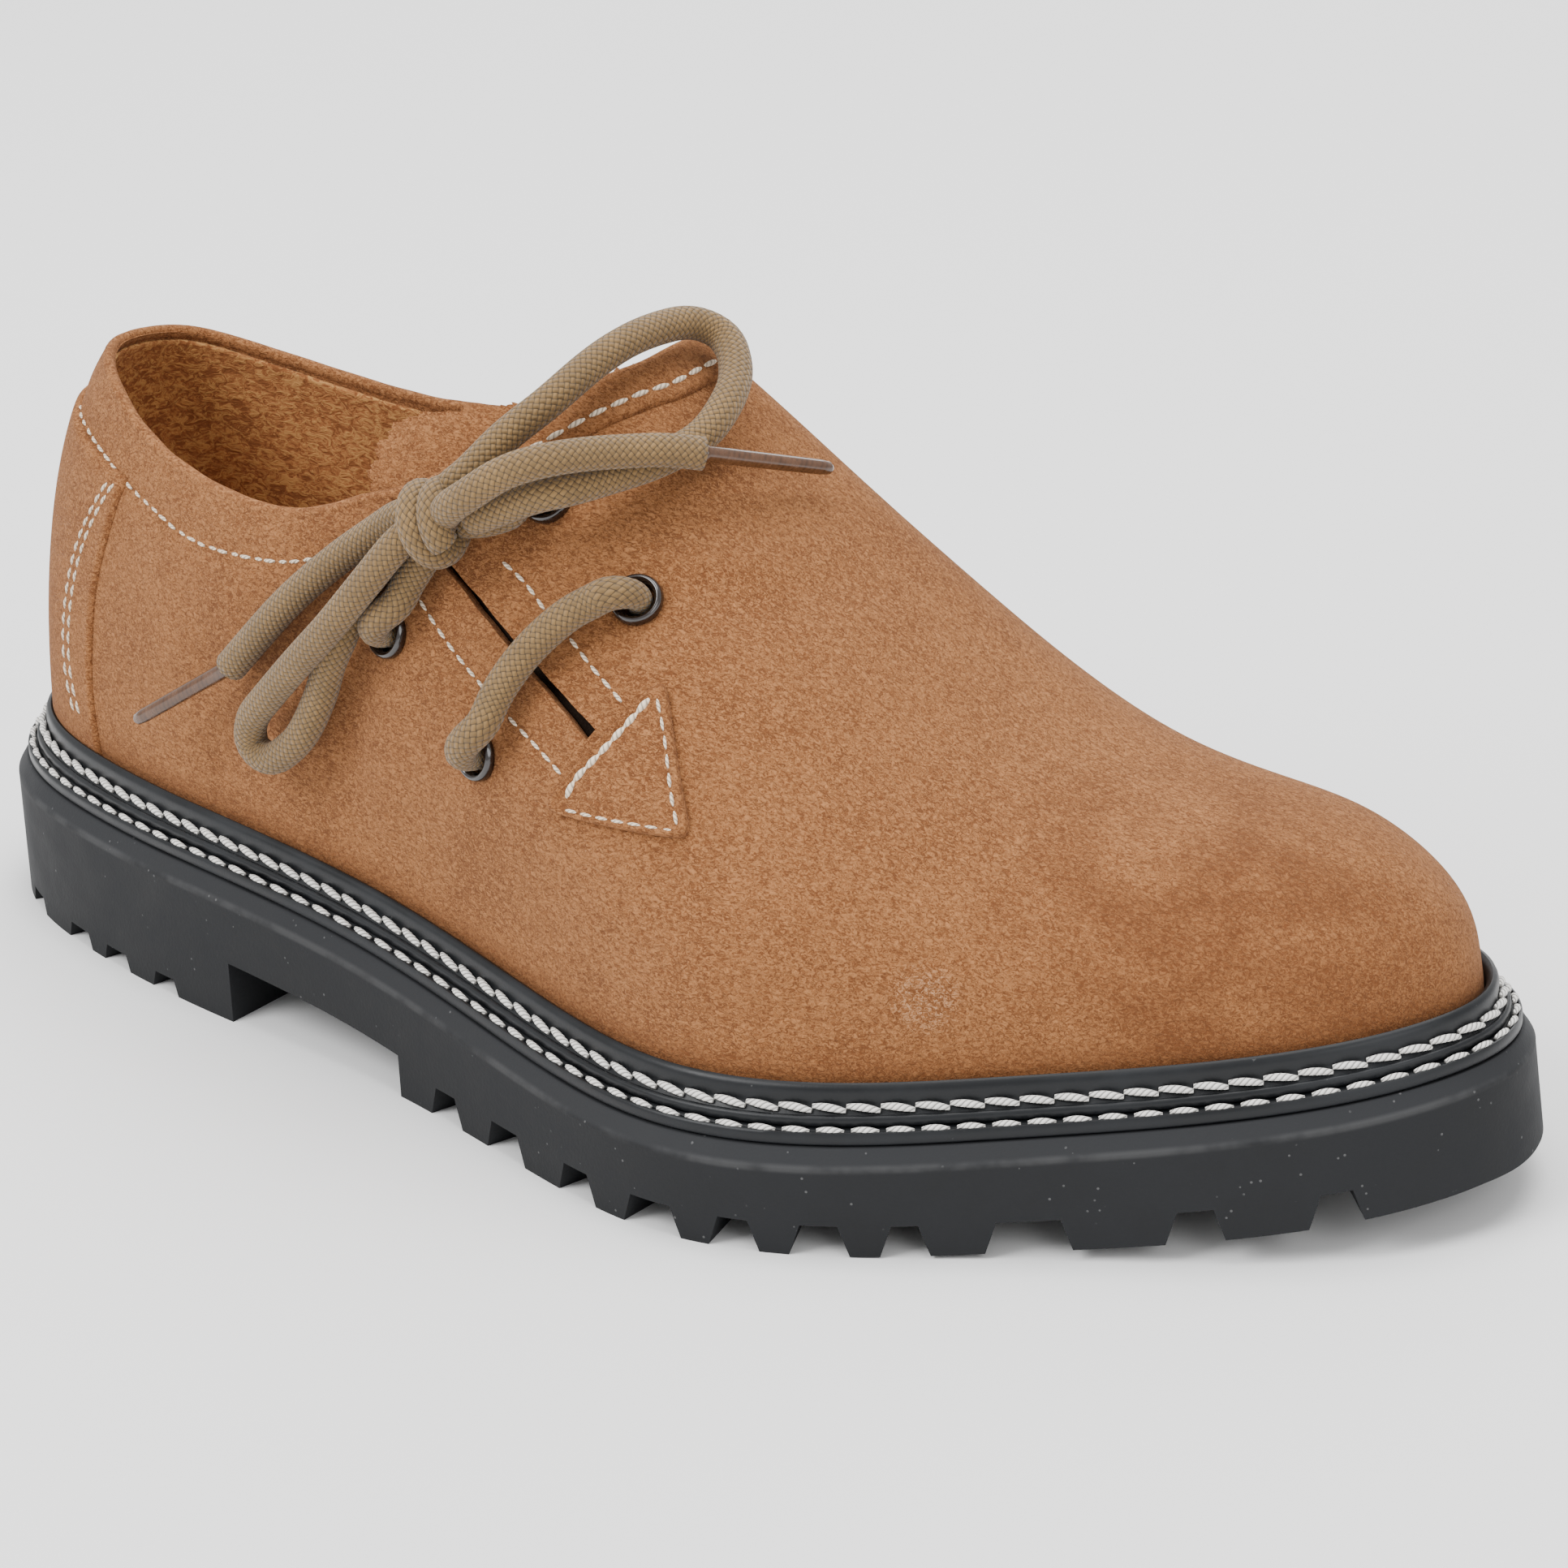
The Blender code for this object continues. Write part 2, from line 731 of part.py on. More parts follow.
# The gaps between the lugs along the outer edge: share of the length at the middle of
# each gap's roof, and its width there, as seen from the side
HEEL_GAPS = ((0.058, 0.006), (0.116, 0.0065), (0.157, 0.0065), (0.206, 0.0055))
FORE_GAPS = (
    (0.456, 0.0055),
    (0.511, 0.0075),
    (0.574, 0.0060),
    (0.630, 0.0080),
    (0.679, 0.0050),
    (0.722, 0.0060),
    (0.761, 0.0042),
    (0.815, 0.0100),
    (0.889, 0.0056),
    (0.948, 0.0050),
)


def edge_frame(along, outer):
    """A point of the tread's edge, with the directions along it and inwards."""
    tau = float(np.arccos(np.clip(1 - 2 * along, -1, 1)) / math.pi)
    tau = tau if outer else 2 - tau
    x, y = side_point("tread", np.array([tau - 0.004, tau, tau + 0.004]))
    along_edge = np.array([x[2] - x[0], y[2] - y[0]])
    along_edge /= np.linalg.norm(along_edge)
    return np.array([x[1], y[1]]), along_edge, np.array([-along_edge[1], along_edge[0]])


def notch_cutter():
    """A gap between each two edge lugs, wider at the floor than at its roof."""
    pieces = []
    rows = [(gap, HEEL_LUG_DEEP) for gap in HEEL_GAPS]
    rows += [(gap, FORE_LUG_DEEP) for gap in FORE_GAPS]
    for (along, wide), deep in rows:
        for outer in (True, False):
            edge, forward, inward = edge_frame(along, outer)
            reach = LUG_REACH + GUTTER_WIDE / 2
            corners = []
            for height, spread in ((deep, 0.5 * wide), (-deep, 0.5 * wide + 0.7 * deep)):
                layer = []
                for run, side in ((-reach, -1), (-reach, 1), (reach, 1), (reach, -1)):
                    x, y = edge + inward * run + forward * spread * side
                    layer.append((x, y, float(tread(x)) + height))
                corners.append(layer)
            pieces.append(prism(corners[1], corners[0]))
    made = joined("cut_notches", pieces)
    face_out(made)
    return made


def gutter_cutter():
    """The long groove between the edge lugs and the middle of the tread."""
    near, far = LUG_REACH, LUG_REACH + GUTTER_WIDE

    def roof(x):
        fore = x > x_at((HEEL_END + FORE_START) / 2)
        return tread(x) + np.where(fore, FORE_LUG_DEEP, HEEL_LUG_DEEP)

    def floor(x):
        return tread(x) - HEEL_LUG_DEEP

    rings = [ring(near, roof), ring(far, roof), ring(far, floor), ring(near, floor)]
    made = layered("cut_gutter", rings, rubber(), closed_ring=True)
    face_out(made)
    return made


def cross_cutter():
    """The grooves across the middle of the heel and of the forefoot."""
    pieces = []
    bars = [(0.085, HEEL_LUG_DEEP), (0.145, HEEL_LUG_DEEP), (0.205, HEEL_LUG_DEEP)]
    bars += [(share, FORE_LUG_DEEP) for share in (0.50, 0.57, 0.64, 0.71, 0.78, 0.85)]
    for along, deep in bars:
        x = float(x_at(along))
        outer, inner = SIDES["tread"]
        low_y = float(np.interp(x, outer[:, 0], outer[:, 1])) + LUG_REACH + GUTTER_WIDE / 2
        high_y = float(np.interp(x, inner[:, 0], inner[:, 1])) - LUG_REACH - GUTTER_WIDE / 2
        layers = []
        for height, half in ((-deep, CROSS_WIDE), (deep, 0.5 * CROSS_WIDE)):
            corners = ((x - half, low_y), (x + half, low_y), (x + half, high_y), (x - half, high_y))
            layers.append([(cx, cy, float(tread(cx)) + height) for cx, cy in corners])
        pieces.append(prism(*layers))
    made = joined("cut_crosses", pieces)
    face_out(made)
    return made


def midsole():
    """The thin runner between outsole and storm welt."""
    return layered(
        "midsole",
        [
            ring(MIDSOLE_INSET, lambda x: level(x) + MIDSOLE_BASE),
            ring(MIDSOLE_INSET, lambda x: level(x) + MIDSOLE_BASE + 0.6 * MIDSOLE_THICK),
            ring(MIDSOLE_INSET + 0.4 * MIDSOLE_THICK, lambda x: level(x) + MIDSOLE_BASE + MIDSOLE_THICK),
        ],
        welt_black(),
    )


def storm_welt():
    """The welt's flange with the lip that stands up round the upper."""
    inner = LIP_FOOT + LIP_THICK
    flange_top = RAND_BASE + RAND_FLANGE
    profile = (
        (inner, RAND_BASE),
        (RAND_INSET, RAND_BASE),
        (RAND_INSET, RAND_BASE + RAND_STEP),
        (LIP_FOOT - 0.15 * LIP_THICK, flange_top),
        (LIP_FOOT, LIP_TOP - 0.2 * LIP_TALL),
        (LIP_FOOT + 0.45 * LIP_THICK, LIP_TOP),
        (inner, LIP_TOP - 0.1 * LIP_TALL),
    )
    rings = [ring(inset, lambda x, up=up: level(x) + up) for inset, up in profile]
    return layered("storm_welt", rings, welt_black(), closed_ring=True)


def insole():
    inset = FEATHER + UPPER_WALL + 2 * SEAT_GAP
    return layered(
        "insole",
        [ring(inset, insole_level), ring(inset, lambda x: insole_level(x) + INSOLE_THICK)],
        lining(),
    )


def shell_grid(count, risers):
    """The last's skin as a closed-top mesh: outer points, faces and vertex normals."""
    tau = np.arange(2 * count) / count
    even = np.linspace(0, 1, risers + 1)[:-1]
    v = 0.45 * even + 0.55 * (1 - np.cos(even * math.pi / 2))
    sides = last(tau[None, :], v[:, None]).reshape(-1, 3)
    crest = last(tau[: count + 1], 1.0)
    points = np.vstack([sides, crest])
    ring_size = 2 * count
    faces = []
    for k in range(risers - 1):
        faces += band_faces(k * ring_size, (k + 1) * ring_size, ring_size)
    top, first = (risers - 1) * ring_size, risers * ring_size
    for i in range(count):
        faces.append((top + i, top + i + 1, first + i + 1, first + i))
        outer_end = (2 * count - i) % (2 * count)
        faces.append((top + 2 * count - i - 1, top + outer_end, first + i, first + i + 1))
    return points, faces, ring_size


def vertex_normals(points, faces):
    normals = np.zeros_like(points)
    for face in faces:
        corners = points[list(face)]
        normal = np.cross(corners[2] - corners[0], corners[3] - corners[1])
        normals[list(face)] += normal
    return normals / np.linalg.norm(normals, axis=1)[:, None]


def upper():
    """Vamp and quarters as one hollow shell, open at collar, slit and underneath."""
    points, faces, ring_size = shell_grid(STATIONS, RISERS)
    inside = points - UPPER_WALL * vertex_normals(points, faces)
    inside[:ring_size, 2] = points[:ring_size, 2]
    total = len(points)
    every = list(faces)
    every += [tuple(total + i for i in face[::-1]) for face in faces]
    every += band_faces(total, 0, ring_size)
    shell = solid("upper", np.vstack([points, inside]), every, suede())
    cut(shell, collar_cutter())
    cut(shell, slit_cutter())
    cut(shell, eyelet_cutter())
    return shell


def collar_line(x, outer):
    """Height over the floor of the collar's cut at a place along the shoe."""
    rows = np.array(COLLAR)
    return up_height(np.interp(share_at(x), rows[:, 0], rows[:, 1 if outer else 2]))


def collar_cutter():
    """Everything above the collar's line, which runs lower on the outer side."""
    rows = np.array(COLLAR)
    roof = up_height(2.2)
    points = []
    for along, outer, inner in rows:
        x = float(x_at(along))
        for y, z in (
            (-SOLE_WIDTH, up_height(outer)),
            (-COLLAR_HALF, up_height(outer)),
            (COLLAR_HALF, up_height(inner)),
            (SOLE_WIDTH, up_height(inner)),
            (SOLE_WIDTH, roof),
            (-SOLE_WIDTH, roof),
        ):
            points.append((x, y, float(z)))
    last_row = 6 * (len(rows) - 1)
    faces = [tuple(range(6)), tuple(last_row + k for k in range(5, -1, -1))]
    for i in range(len(rows) - 1):
        faces += band_faces(6 * i, 6 * (i + 1), 6)
    made = joined("cut_collar", [(points, faces)])
    face_out(made)
    return made


def slit_cutter():
    """A thin wedge down the line between the two facings."""
    rows = np.array(SLIT)
    points = place(rows[:, 0], rows[:, 1])
    normals = normal_at(rows[:, 0], rows[:, 1])
    along = np.gradient(points, axis=0)
    across = np.cross(along, normals)
    across /= np.linalg.norm(across, axis=1)[:, None]
    half = np.linspace(SLIT_TOP_WIDE, SLIT_LOW_WIDE, len(rows))[:, None] / 2
    deep = 2.0 * UPPER_WALL
    layers = [
        points + deep * normals - half * across,
        points + deep * normals + half * across,
        points - deep * normals + half * across,
        points - deep * normals - half * across,
    ]
    grid = np.stack(layers, axis=1)
    count = len(rows)
    faces = [(0, 1, 2, 3), tuple(4 * count - 1 - k for k in range(4))]
    for i in range(count - 1):
        faces += [(4 * i + (k + 1) % 4, 4 * i + k, 4 * i + 4 + k, 4 * i + 4 + (k + 1) % 4) for k in range(4)]
    made = joined("cut_slit", [(grid.reshape(-1, 3), faces)])
    face_out(made)
    return made


def eyelet_frame(along, up):
    """Centre on the skin and the two directions across the eyelet, with its normal."""
    centre = place(along, up)
    normal = normal_at(along, up)
    first = np.cross(normal, (0.0, 0.0, 1.0))
    first /= np.linalg.norm(first)
    return centre, first, np.cross(normal, first), normal


def turned(centre, first, second, normal, profile, sides):
    """A ring of the profile's (radius, height) points turned about the normal."""
    angles = np.arange(sides) * 2 * math.pi / sides
    spoke = np.cos(angles)[:, None] * first + np.sin(angles)[:, None] * second
    return [centre + radius * spoke + height * normal for radius, height in profile]


def eyelet_cutter():
    pieces = []
    for _, along, up in EYELETS:
        frame = eyelet_frame(along, up)
        radius = EYELET_HOLE + EYELET_BARREL + SEAT_GAP
        rings = turned(*frame, ((radius, -3 * UPPER_WALL), (radius, 2 * UPPER_WALL)), 16)
        pieces.append(prism(list(rings[0]), list(rings[1])))
    made = joined("cut_eyelets", pieces)
    face_out(made)
    return made


def eyelet(name, along, up):
    """A turned ring: a rounded rim on the leather and a barrel down through it."""
    frame = eyelet_frame(along, up)
    outer = EYELET_HOLE + EYELET_BARREL
    seat = 1.6 * SEAT_GAP
    profile = (
        (outer, -UPPER_WALL),
        (outer, seat),
        (EYELET_RIM, seat),
        (EYELET_RIM - 0.2 * (EYELET_RIM - EYELET_HOLE), seat + 0.75 * EYELET_PROUD),
        (0.5 * (EYELET_RIM + EYELET_HOLE), seat + EYELET_PROUD),
        (EYELET_HOLE, seat + 0.55 * EYELET_PROUD),
        (EYELET_HOLE, -UPPER_WALL),
    )
    rings = turned(*frame, profile, 16)
    faces = []
    for k in range(len(rings)):
        faces += band_faces(k * 16, ((k + 1) % len(rings)) * 16, 16)
    made = solid("eyelet_" + name, np.vstack(rings), faces, eyelet_enamel())
    face_out(made)
    return made


def tongue():
    """The sheet under the slit: it shows above the collar with a ragged edge."""
    rows = np.array(TONGUE_BACK)
    across = np.linspace(rows[0, 0], rows[-1, 0], 17)
    back = np.interp(across, rows[:, 0], rows[:, 1])
    ragged = np.where(np.arange(len(across)) % 2 == 0, 1.0, -1.0)
    shown = (across > -0.56) & (across < -0.30)
    back = back + shown * ragged * 0.5 * TONGUE_EDGE / SOLE_LENGTH
    share = back[:, None] + (TONGUE_FRONT - back)[:, None] * np.linspace(0, 1, 9)[None, :]
    tau = tau_at(share)
    v = np.broadcast_to(1 + across[:, None], tau.shape)
    top = -(UPPER_WALL + TONGUE_GAP)
    return slab("tongue", skin(tau, v, top - TONGUE_THICK), skin(tau, v, top), suede())


def throat_edge(across, forward, down):
    """The station at which a line across the sections meets the collar's cut, moved."""
    shares = np.linspace(0.34, 0.56, 111)
    tau = tau_at(shares, True)
    found = []
    for t in across:
        height = last(tau if t <= 0 else 2 - tau, 1 - abs(t))[:, 2]
        line = collar_line(x_at(shares) - forward, t <= 0) - down
        inside = np.nonzero(height > line)[0]
        i = inside[-1]
        gap0, gap1 = height[i] - line[i], height[i + 1] - line[i + 1]
        found.append(shares[i] + (shares[1] - shares[0]) * gap0 / (gap0 - gap1))
    return np.array(found)


def throat_band():
    """The raised strip that edges the vamp's throat, over the instep."""
    across = np.linspace(-0.46, 0.42, 19)
    edge = throat_edge(across, 0.0, 0.0)
    front = throat_edge(across, 0.70 * THROAT_BAND_WIDE, 0.70 * THROAT_BAND_WIDE)
    share = edge[:, None] + (front - edge)[:, None] * np.linspace(0.03, 1, 3)[None, :]
    tau = np.where(across[:, None] <= 0, tau_at(share), 2 - tau_at(share))
    v = np.broadcast_to(1 - np.abs(across)[:, None], tau.shape)
    return slab(
        "throat_band",
        skin(tau, v, SEAT_GAP),
        skin(tau, v, SEAT_GAP + OVERLAY_THICK),
        suede(),
    )


def heel_counter():
    """The stiff overlay round the heel, from the welt's lip to the collar's seam."""
    rows = np.array(COUNTER)
    levels = np.linspace(0, 1, 8)
    up = rows[0, 1] + (rows[-1, 1] - rows[0, 1]) * levels
    edge = tau_at(spline(rows[:, 1], rows[:, 0], up))
    round_heel = np.linspace(-1, 1, 15)
    tau = np.mod(-edge[:, None] * round_heel[None, :], 2)
    rise = (COUNTER_TOP - rows[-1, 1]) * (1 - np.abs(round_heel) ** 1.5)
    height = up_height(up[:, None] + levels[:, None] * rise[None, :])
    foot = insole_level(last(tau, 0.0)[..., 0]) + LIP_TOP - RAND_BASE + 2 * SEAT_GAP
    height = np.maximum(height, foot + levels[:, None] * 0.001)
    v = v_at(tau, height)
    return slab(
        "heel_counter",
        skin(tau, v, SEAT_GAP),
        skin(tau, v, SEAT_GAP + OVERLAY_THICK),
        suede(),
    )


def patch_outline(grow=0.0):
    """The patch's rounded three-cornered outline as (along, up) points."""
    corners = np.array(PATCH)
    middle = corners.mean(axis=0)
    outline = []
    for i in range(3):
        before, corner, after = corners[i - 1], corners[i], corners[(i + 1) % 3]
        start = corner + (before - corner) * PATCH_ROUND
        end = corner + (after - corner) * PATCH_ROUND
        for t in np.linspace(0, 1, 4):
            outline.append((1 - t) ** 2 * start + 2 * t * (1 - t) * corner + t * t * end)
        for t in (1 / 3, 2 / 3):
            outline.append(end + (after + (corner - after) * PATCH_ROUND - end) * t)
    outline = np.array(outline)
    return middle, middle + (outline - middle) * (1 + grow)


def lace_patch():
    """The small three-cornered patch stitched over the slit's lower end."""
    middle, outline = patch_outline()
    shares = (0.0, 0.5, 1.0)
    rings = [middle + (outline - middle) * share for share in shares[1:]]
    flat = np.vstack([middle[None, :], *rings])
    count = len(outline)
    faces = [(0, 1 + i, 1 + (i + 1) % count) for i in range(count)]
    faces += band_faces(1, 1 + count, count)
    low = place(flat[:, 0], flat[:, 1], SEAT_GAP)
    high = place(flat[:, 0], flat[:, 1], SEAT_GAP + OVERLAY_THICK)
    total = len(flat)
    every = [tuple(total + i for i in face) for face in faces]
    every += [tuple(face[::-1]) for face in faces]
    every += band_faces(total + 1 + count, 1 + count, count)
    made = solid("lace_patch", np.vstack([low, high]), every, suede())
    face_out(made)
    return made


def on_route(points):
    """Route points (along, across, off in lace radii) as places."""
    rows = np.array(points, float).reshape(-1, 3)
    return skin(tau_at(rows[:, 0]), 1 + rows[:, 1], rows[:, 2] * LACE_RADIUS)


def over_rim(name, toward):
    """The lace's line out of an eyelet, over its rim, toward a point of its route."""
    spot = {row[0]: row[1:] for row in EYELETS}[name]
    centre, _, _, normal = eyelet_frame(*spot)
    side = toward - centre
    side -= normal * (side @ normal)
    side /= np.linalg.norm(side)
    aside, off = np.array(RIM_ARCH).T[..., None] * LACE_RADIUS
    return centre + aside * side + off * normal


def smooth_line(points, step):
    """The smooth curve through some points, read off at about equal steps."""
    chord = np.linalg.norm(np.diff(points, axis=0), axis=1)
    knots = np.concatenate([[0], np.cumsum(chord)])
    count = max(2, round(knots[-1] / step))
    return spline(knots, points, np.linspace(0, knots[-1], count + 1))


def knot_frame():
    """The knot's centre and its three axes: along the bow, across it, off the shoe."""
    centre = on_route(KNOT)[0]
    tails = on_route([CORD_ROUTES["lace_tail_back"][2], CORD_ROUTES["lace_tail_front"][2]])
    long_axis = tails[1] - tails[0]
    along, across, _ = KNOT
    normal = on_route((along, across, 1.0))[0] - on_route((along, across, 0.0))[0]
    normal /= np.linalg.norm(normal)
    long_axis -= normal * (long_axis @ normal)
    long_axis /= np.linalg.norm(long_axis)
    return centre, np.stack([long_axis, np.cross(normal, long_axis), normal])


def clear_of_knot(line, radius):
    """The stretch of a line whose round section stays clear of the knot."""
    centre, axes = knot_frame()
    half = np.array([KNOT_LONG, KNOT_WIDE, KNOT_TALL]) / 2 + 2 * SEAT_GAP
    along = np.gradient(line, axis=0)
    along /= np.linalg.norm(along, axis=1)[:, None]
    side = np.cross(along, axes[2])
    side /= np.linalg.norm(side, axis=1)[:, None]
    other = np.cross(along, side)
    outside = np.ones(len(line), bool)
    for angle in np.arange(8) * math.pi / 4:
        rim = line + radius * (math.cos(angle) * side + math.sin(angle) * other)
        outside &= np.linalg.norm((rim - centre) @ axes.T / half, axis=1) > 1
    kept = np.nonzero(outside)[0]
    return line[kept[0] : kept[-1] + 1]


def tube(name, line, radii, finish):
    """A round cord along a line, thinner where radii say so."""
    curve = bpy.data.curves.new(name, "CURVE")
    curve.dimensions = "3D"
    curve.bevel_depth = LACE_RADIUS
    curve.bevel_resolution = 2
    curve.use_fill_caps = True
    spline_row = curve.splines.new("POLY")
    spline_row.points.add(len(line) - 1)
    for point, place_of, radius in zip(spline_row.points, line, radii):
        point.co = (*map(float, place_of), 1)
        point.radius = float(radius / LACE_RADIUS)
    made = bpy.data.objects.new(name, curve)
    made.data.materials.append(finish)
    bpy.context.scene.collection.objects.link(made)
    return made


def fine_line(points):
    """A line dense enough to trim."""
    return smooth_line(points, 0.1 * LACE_RADIUS)


def thinned(line, step):
    """Points of a dense line about a step apart (in lace radii), with both its ends."""
    long = np.linalg.norm(np.diff(line, axis=0), axis=1).sum()
    count = max(2, round(long / (step * LACE_RADIUS)))
    return line[np.linspace(0, len(line) - 1, count + 1).round().astype(int)]


def lace_solids():
    """The lace's crossing and the two short strands that rise to the knot."""
    for name, (first, rows, end) in SOLID_ROUTES.items():
        middle = on_route(rows)
        ends = [over_rim(first, middle[0])]
        if end:
            ends.append(over_rim(end, middle[-1])[::-1])
        line = fine_line(np.vstack([ends[0], middle, *ends[1:]]))
        if not end:
            line = clear_of_knot(line, LACE_RADIUS)
        line = thinned(line, BEND_STEP)
        holes = [ends[0][0], ends[-1][-1]] if end else [ends[0][0]]
        far = np.min([np.linalg.norm(line - hole, axis=1) for hole in holes], axis=0)
        radii = LACE_NECK + (LACE_RADIUS - LACE_NECK) * ease(far / (2 * LACE_RADIUS) - 0.5)
        tube(name, line, radii, lace_cord())


def lace_cords():
    """The bow: two loops and two tails that start at the knot, and the tails' aglets."""
    for name, rows in CORD_ROUTES.items():
        line = clear_of_knot(fine_line(on_route(rows)), LACE_RADIUS)
        line = thinned(line, LACE_STEP)
        tube(name, line, np.full(len(line), LACE_RADIUS), lace_cord())
    for name, (tail, far_end) in AGLET_ENDS.items():
        start = on_route(CORD_ROUTES[tail][-1])[0]
        toward = on_route(far_end)[0] - start
        toward /= np.linalg.norm(toward)
        line = start + np.outer([2 * SEAT_GAP, AGLET_LONG / 2, AGLET_LONG], toward)
        tube(name, line, np.full(len(line), AGLET_RADIUS), aglet_plastic())


def lace_knot():
    """The knot, as the rounded lump that its turns fill."""
    centre, axes = knot_frame()
    half = np.array([KNOT_LONG, KNOT_WIDE, KNOT_TALL]) / 2
    work = bmesh.new()
    bmesh.ops.create_uvsphere(work, u_segments=16, v_segments=10, radius=1.0)
    for vertex in work.verts:
        vertex.co = centre + (np.array(vertex.co) * half) @ axes
    bmesh.ops.recalc_face_normals(work, faces=work.faces)
    mesh = bpy.data.meshes.new("lace_knot")
    work.to_mesh(mesh)
    work.free()
    mesh.shade_smooth()
    made = bpy.data.objects.new("lace_knot", mesh)
    made.data.materials.append(lace_cord())
    bpy.context.scene.collection.objects.link(made)


def main():
    for old in list(bpy.data.objects):
        bpy.data.objects.remove(old, do_unlink=True)
    outsole()
    midsole()
    storm_welt()
    insole()
    upper()
    tongue()
    heel_counter()
    throat_band()
    lace_patch()
    for name, along, up in EYELETS:
        eyelet(name, along, up)
    lace_solids()
    lace_knot()
    lace_cords()


main()
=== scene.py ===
"""The looks of the haferl shoe: suede upper, seams, braided lace, stitched welt and lugged sole.

Metres, in the CAD's own frame: +X is the toe, -Y the outer side of the foot, +Z up.
Every soft surface is a function of the last, which repeats the CAD's sizes and tables.
"""

import math

import bmesh
import bpy
import numpy as np
from mathutils import Matrix, Vector


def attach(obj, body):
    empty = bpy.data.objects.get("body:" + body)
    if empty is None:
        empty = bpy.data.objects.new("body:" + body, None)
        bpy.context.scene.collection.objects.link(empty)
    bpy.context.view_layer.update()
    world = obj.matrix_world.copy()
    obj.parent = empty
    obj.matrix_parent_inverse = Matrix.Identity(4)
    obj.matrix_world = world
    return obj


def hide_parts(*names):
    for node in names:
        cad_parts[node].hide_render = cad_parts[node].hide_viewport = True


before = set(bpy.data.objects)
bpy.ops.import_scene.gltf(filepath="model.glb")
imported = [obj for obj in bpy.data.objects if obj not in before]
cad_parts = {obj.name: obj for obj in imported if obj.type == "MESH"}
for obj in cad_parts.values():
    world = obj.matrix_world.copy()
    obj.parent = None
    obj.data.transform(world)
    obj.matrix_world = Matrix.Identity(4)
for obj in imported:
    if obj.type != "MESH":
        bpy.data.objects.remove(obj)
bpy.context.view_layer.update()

bl_info = {
    "name": "Haferl Shoe",
    "version": (1, 0, 0),
    "blender": (4, 5, 0),
    "location": "View3D > Sidebar > Haferl Shoe",
    "description": "Dresses the haferl shoe's solids in suede, thread, rubber and lace",
    "category": "Object",
}

# Sizes that the solids have too
SOLE_LENGTH = 0.305
SOLE_WIDTH = 0.1205
HEEL_LEVEL = 0.0225
BALL_LEVEL = 0.0147
TOE_RISE = 0.0100
TREAD_RISE = 0.0088
ARCH_THICK = 0.0112
WALL_DRAFT = 0.0003
TOE_FLARE = 0.0014
FLARE_START = 0.750
BEVEL_IN = 0.0019
BEVEL_TALL = 0.0030
HEEL_END = 0.270
FORE_START = 0.416
HEEL_LUG_DEEP = 0.0030
FORE_LUG_DEEP = 0.0052
LUG_REACH = 0.0150
GUTTER_WIDE = 0.0026
CROSS_WIDE = 0.0042
SEAT_GAP = 0.0003
MIDSOLE_THICK = 0.0021
MIDSOLE_INSET = 0.0021
RAND_INSET = 0.0039
RAND_FLANGE = 0.0023
LIP_FOOT = 0.0059
LIP_THICK = 0.0019
LIP_TALL = 0.0040
INSOLE_THICK = 0.0030
INSTEP_TALL = 0.1030
BULGE = 0.0032
UPPER_WALL = 0.0020
HEEL_TURN = 0.150
TOE_TURN = 0.858
TURN_BLEND = 0.0080
COLLAR_HALF = 0.0280
COLLAR_TALL = 0.0745
SLIT_TOP_WIDE = 0.0008
SLIT_LOW_WIDE = 0.0020
TONGUE_THICK = 0.0016
TONGUE_GAP = 0.0010
OVERLAY_THICK = 0.0011
THROAT_BAND_WIDE = 0.0060
EYELET_HOLE = 0.0029
EYELET_BARREL = 0.0005
EYELET_RIM = 0.0044
EYELET_PROUD = 0.0011
LACE_RADIUS = 0.0028
LACE_NECK = 0.0023
AGLET_RADIUS = 0.0013
AGLET_LONG = 0.0250
MIDSOLE_BASE = BEVEL_TALL + SEAT_GAP
RAND_BASE = MIDSOLE_BASE + MIDSOLE_THICK + SEAT_GAP
LIP_TOP = RAND_BASE + RAND_FLANGE + LIP_TALL
FEATHER = LIP_FOOT + LIP_THICK + SEAT_GAP

# along (share of length), across (share of width, minus is outer), from the heel round
OUTLINE = (
    (0.002, -0.015), (0.029, -0.122), (0.126, -0.257), (0.258, -0.342),
    (0.372, -0.390), (0.471, -0.456), (0.569, -0.534), (0.641, -0.563),
    (0.716, -0.519), (0.815, -0.375), (0.913, -0.226), (0.978, -0.073),
    (0.999, 0.075), (0.972, 0.243), (0.908, 0.362), (0.815, 0.420),
    (0.716, 0.424), (0.569, 0.344), (0.471, 0.288), (0.372, 0.274),
    (0.258, 0.297), (0.126, 0.312), (0.029, 0.218),
)

# along, ridge height, ridge shift, roundness, swelling
LAST = (
    (0.13, 0.833, 0.018, 2.40, -0.15),
    (0.26, 0.940, 0.037, 2.46, 0.50),
    (0.36, 1.002, 0.053, 2.40, 0.75),
    (0.46, 0.986, 0.064, 2.26, 1.00),
    (0.56, 0.826, 0.070, 2.20, 0.90),
    (0.66, 0.613, 0.072, 2.18, 0.65),
    (0.76, 0.432, 0.075, 2.24, 0.40),
    (0.86, 0.350, 0.090, 2.55, 0.20),
)

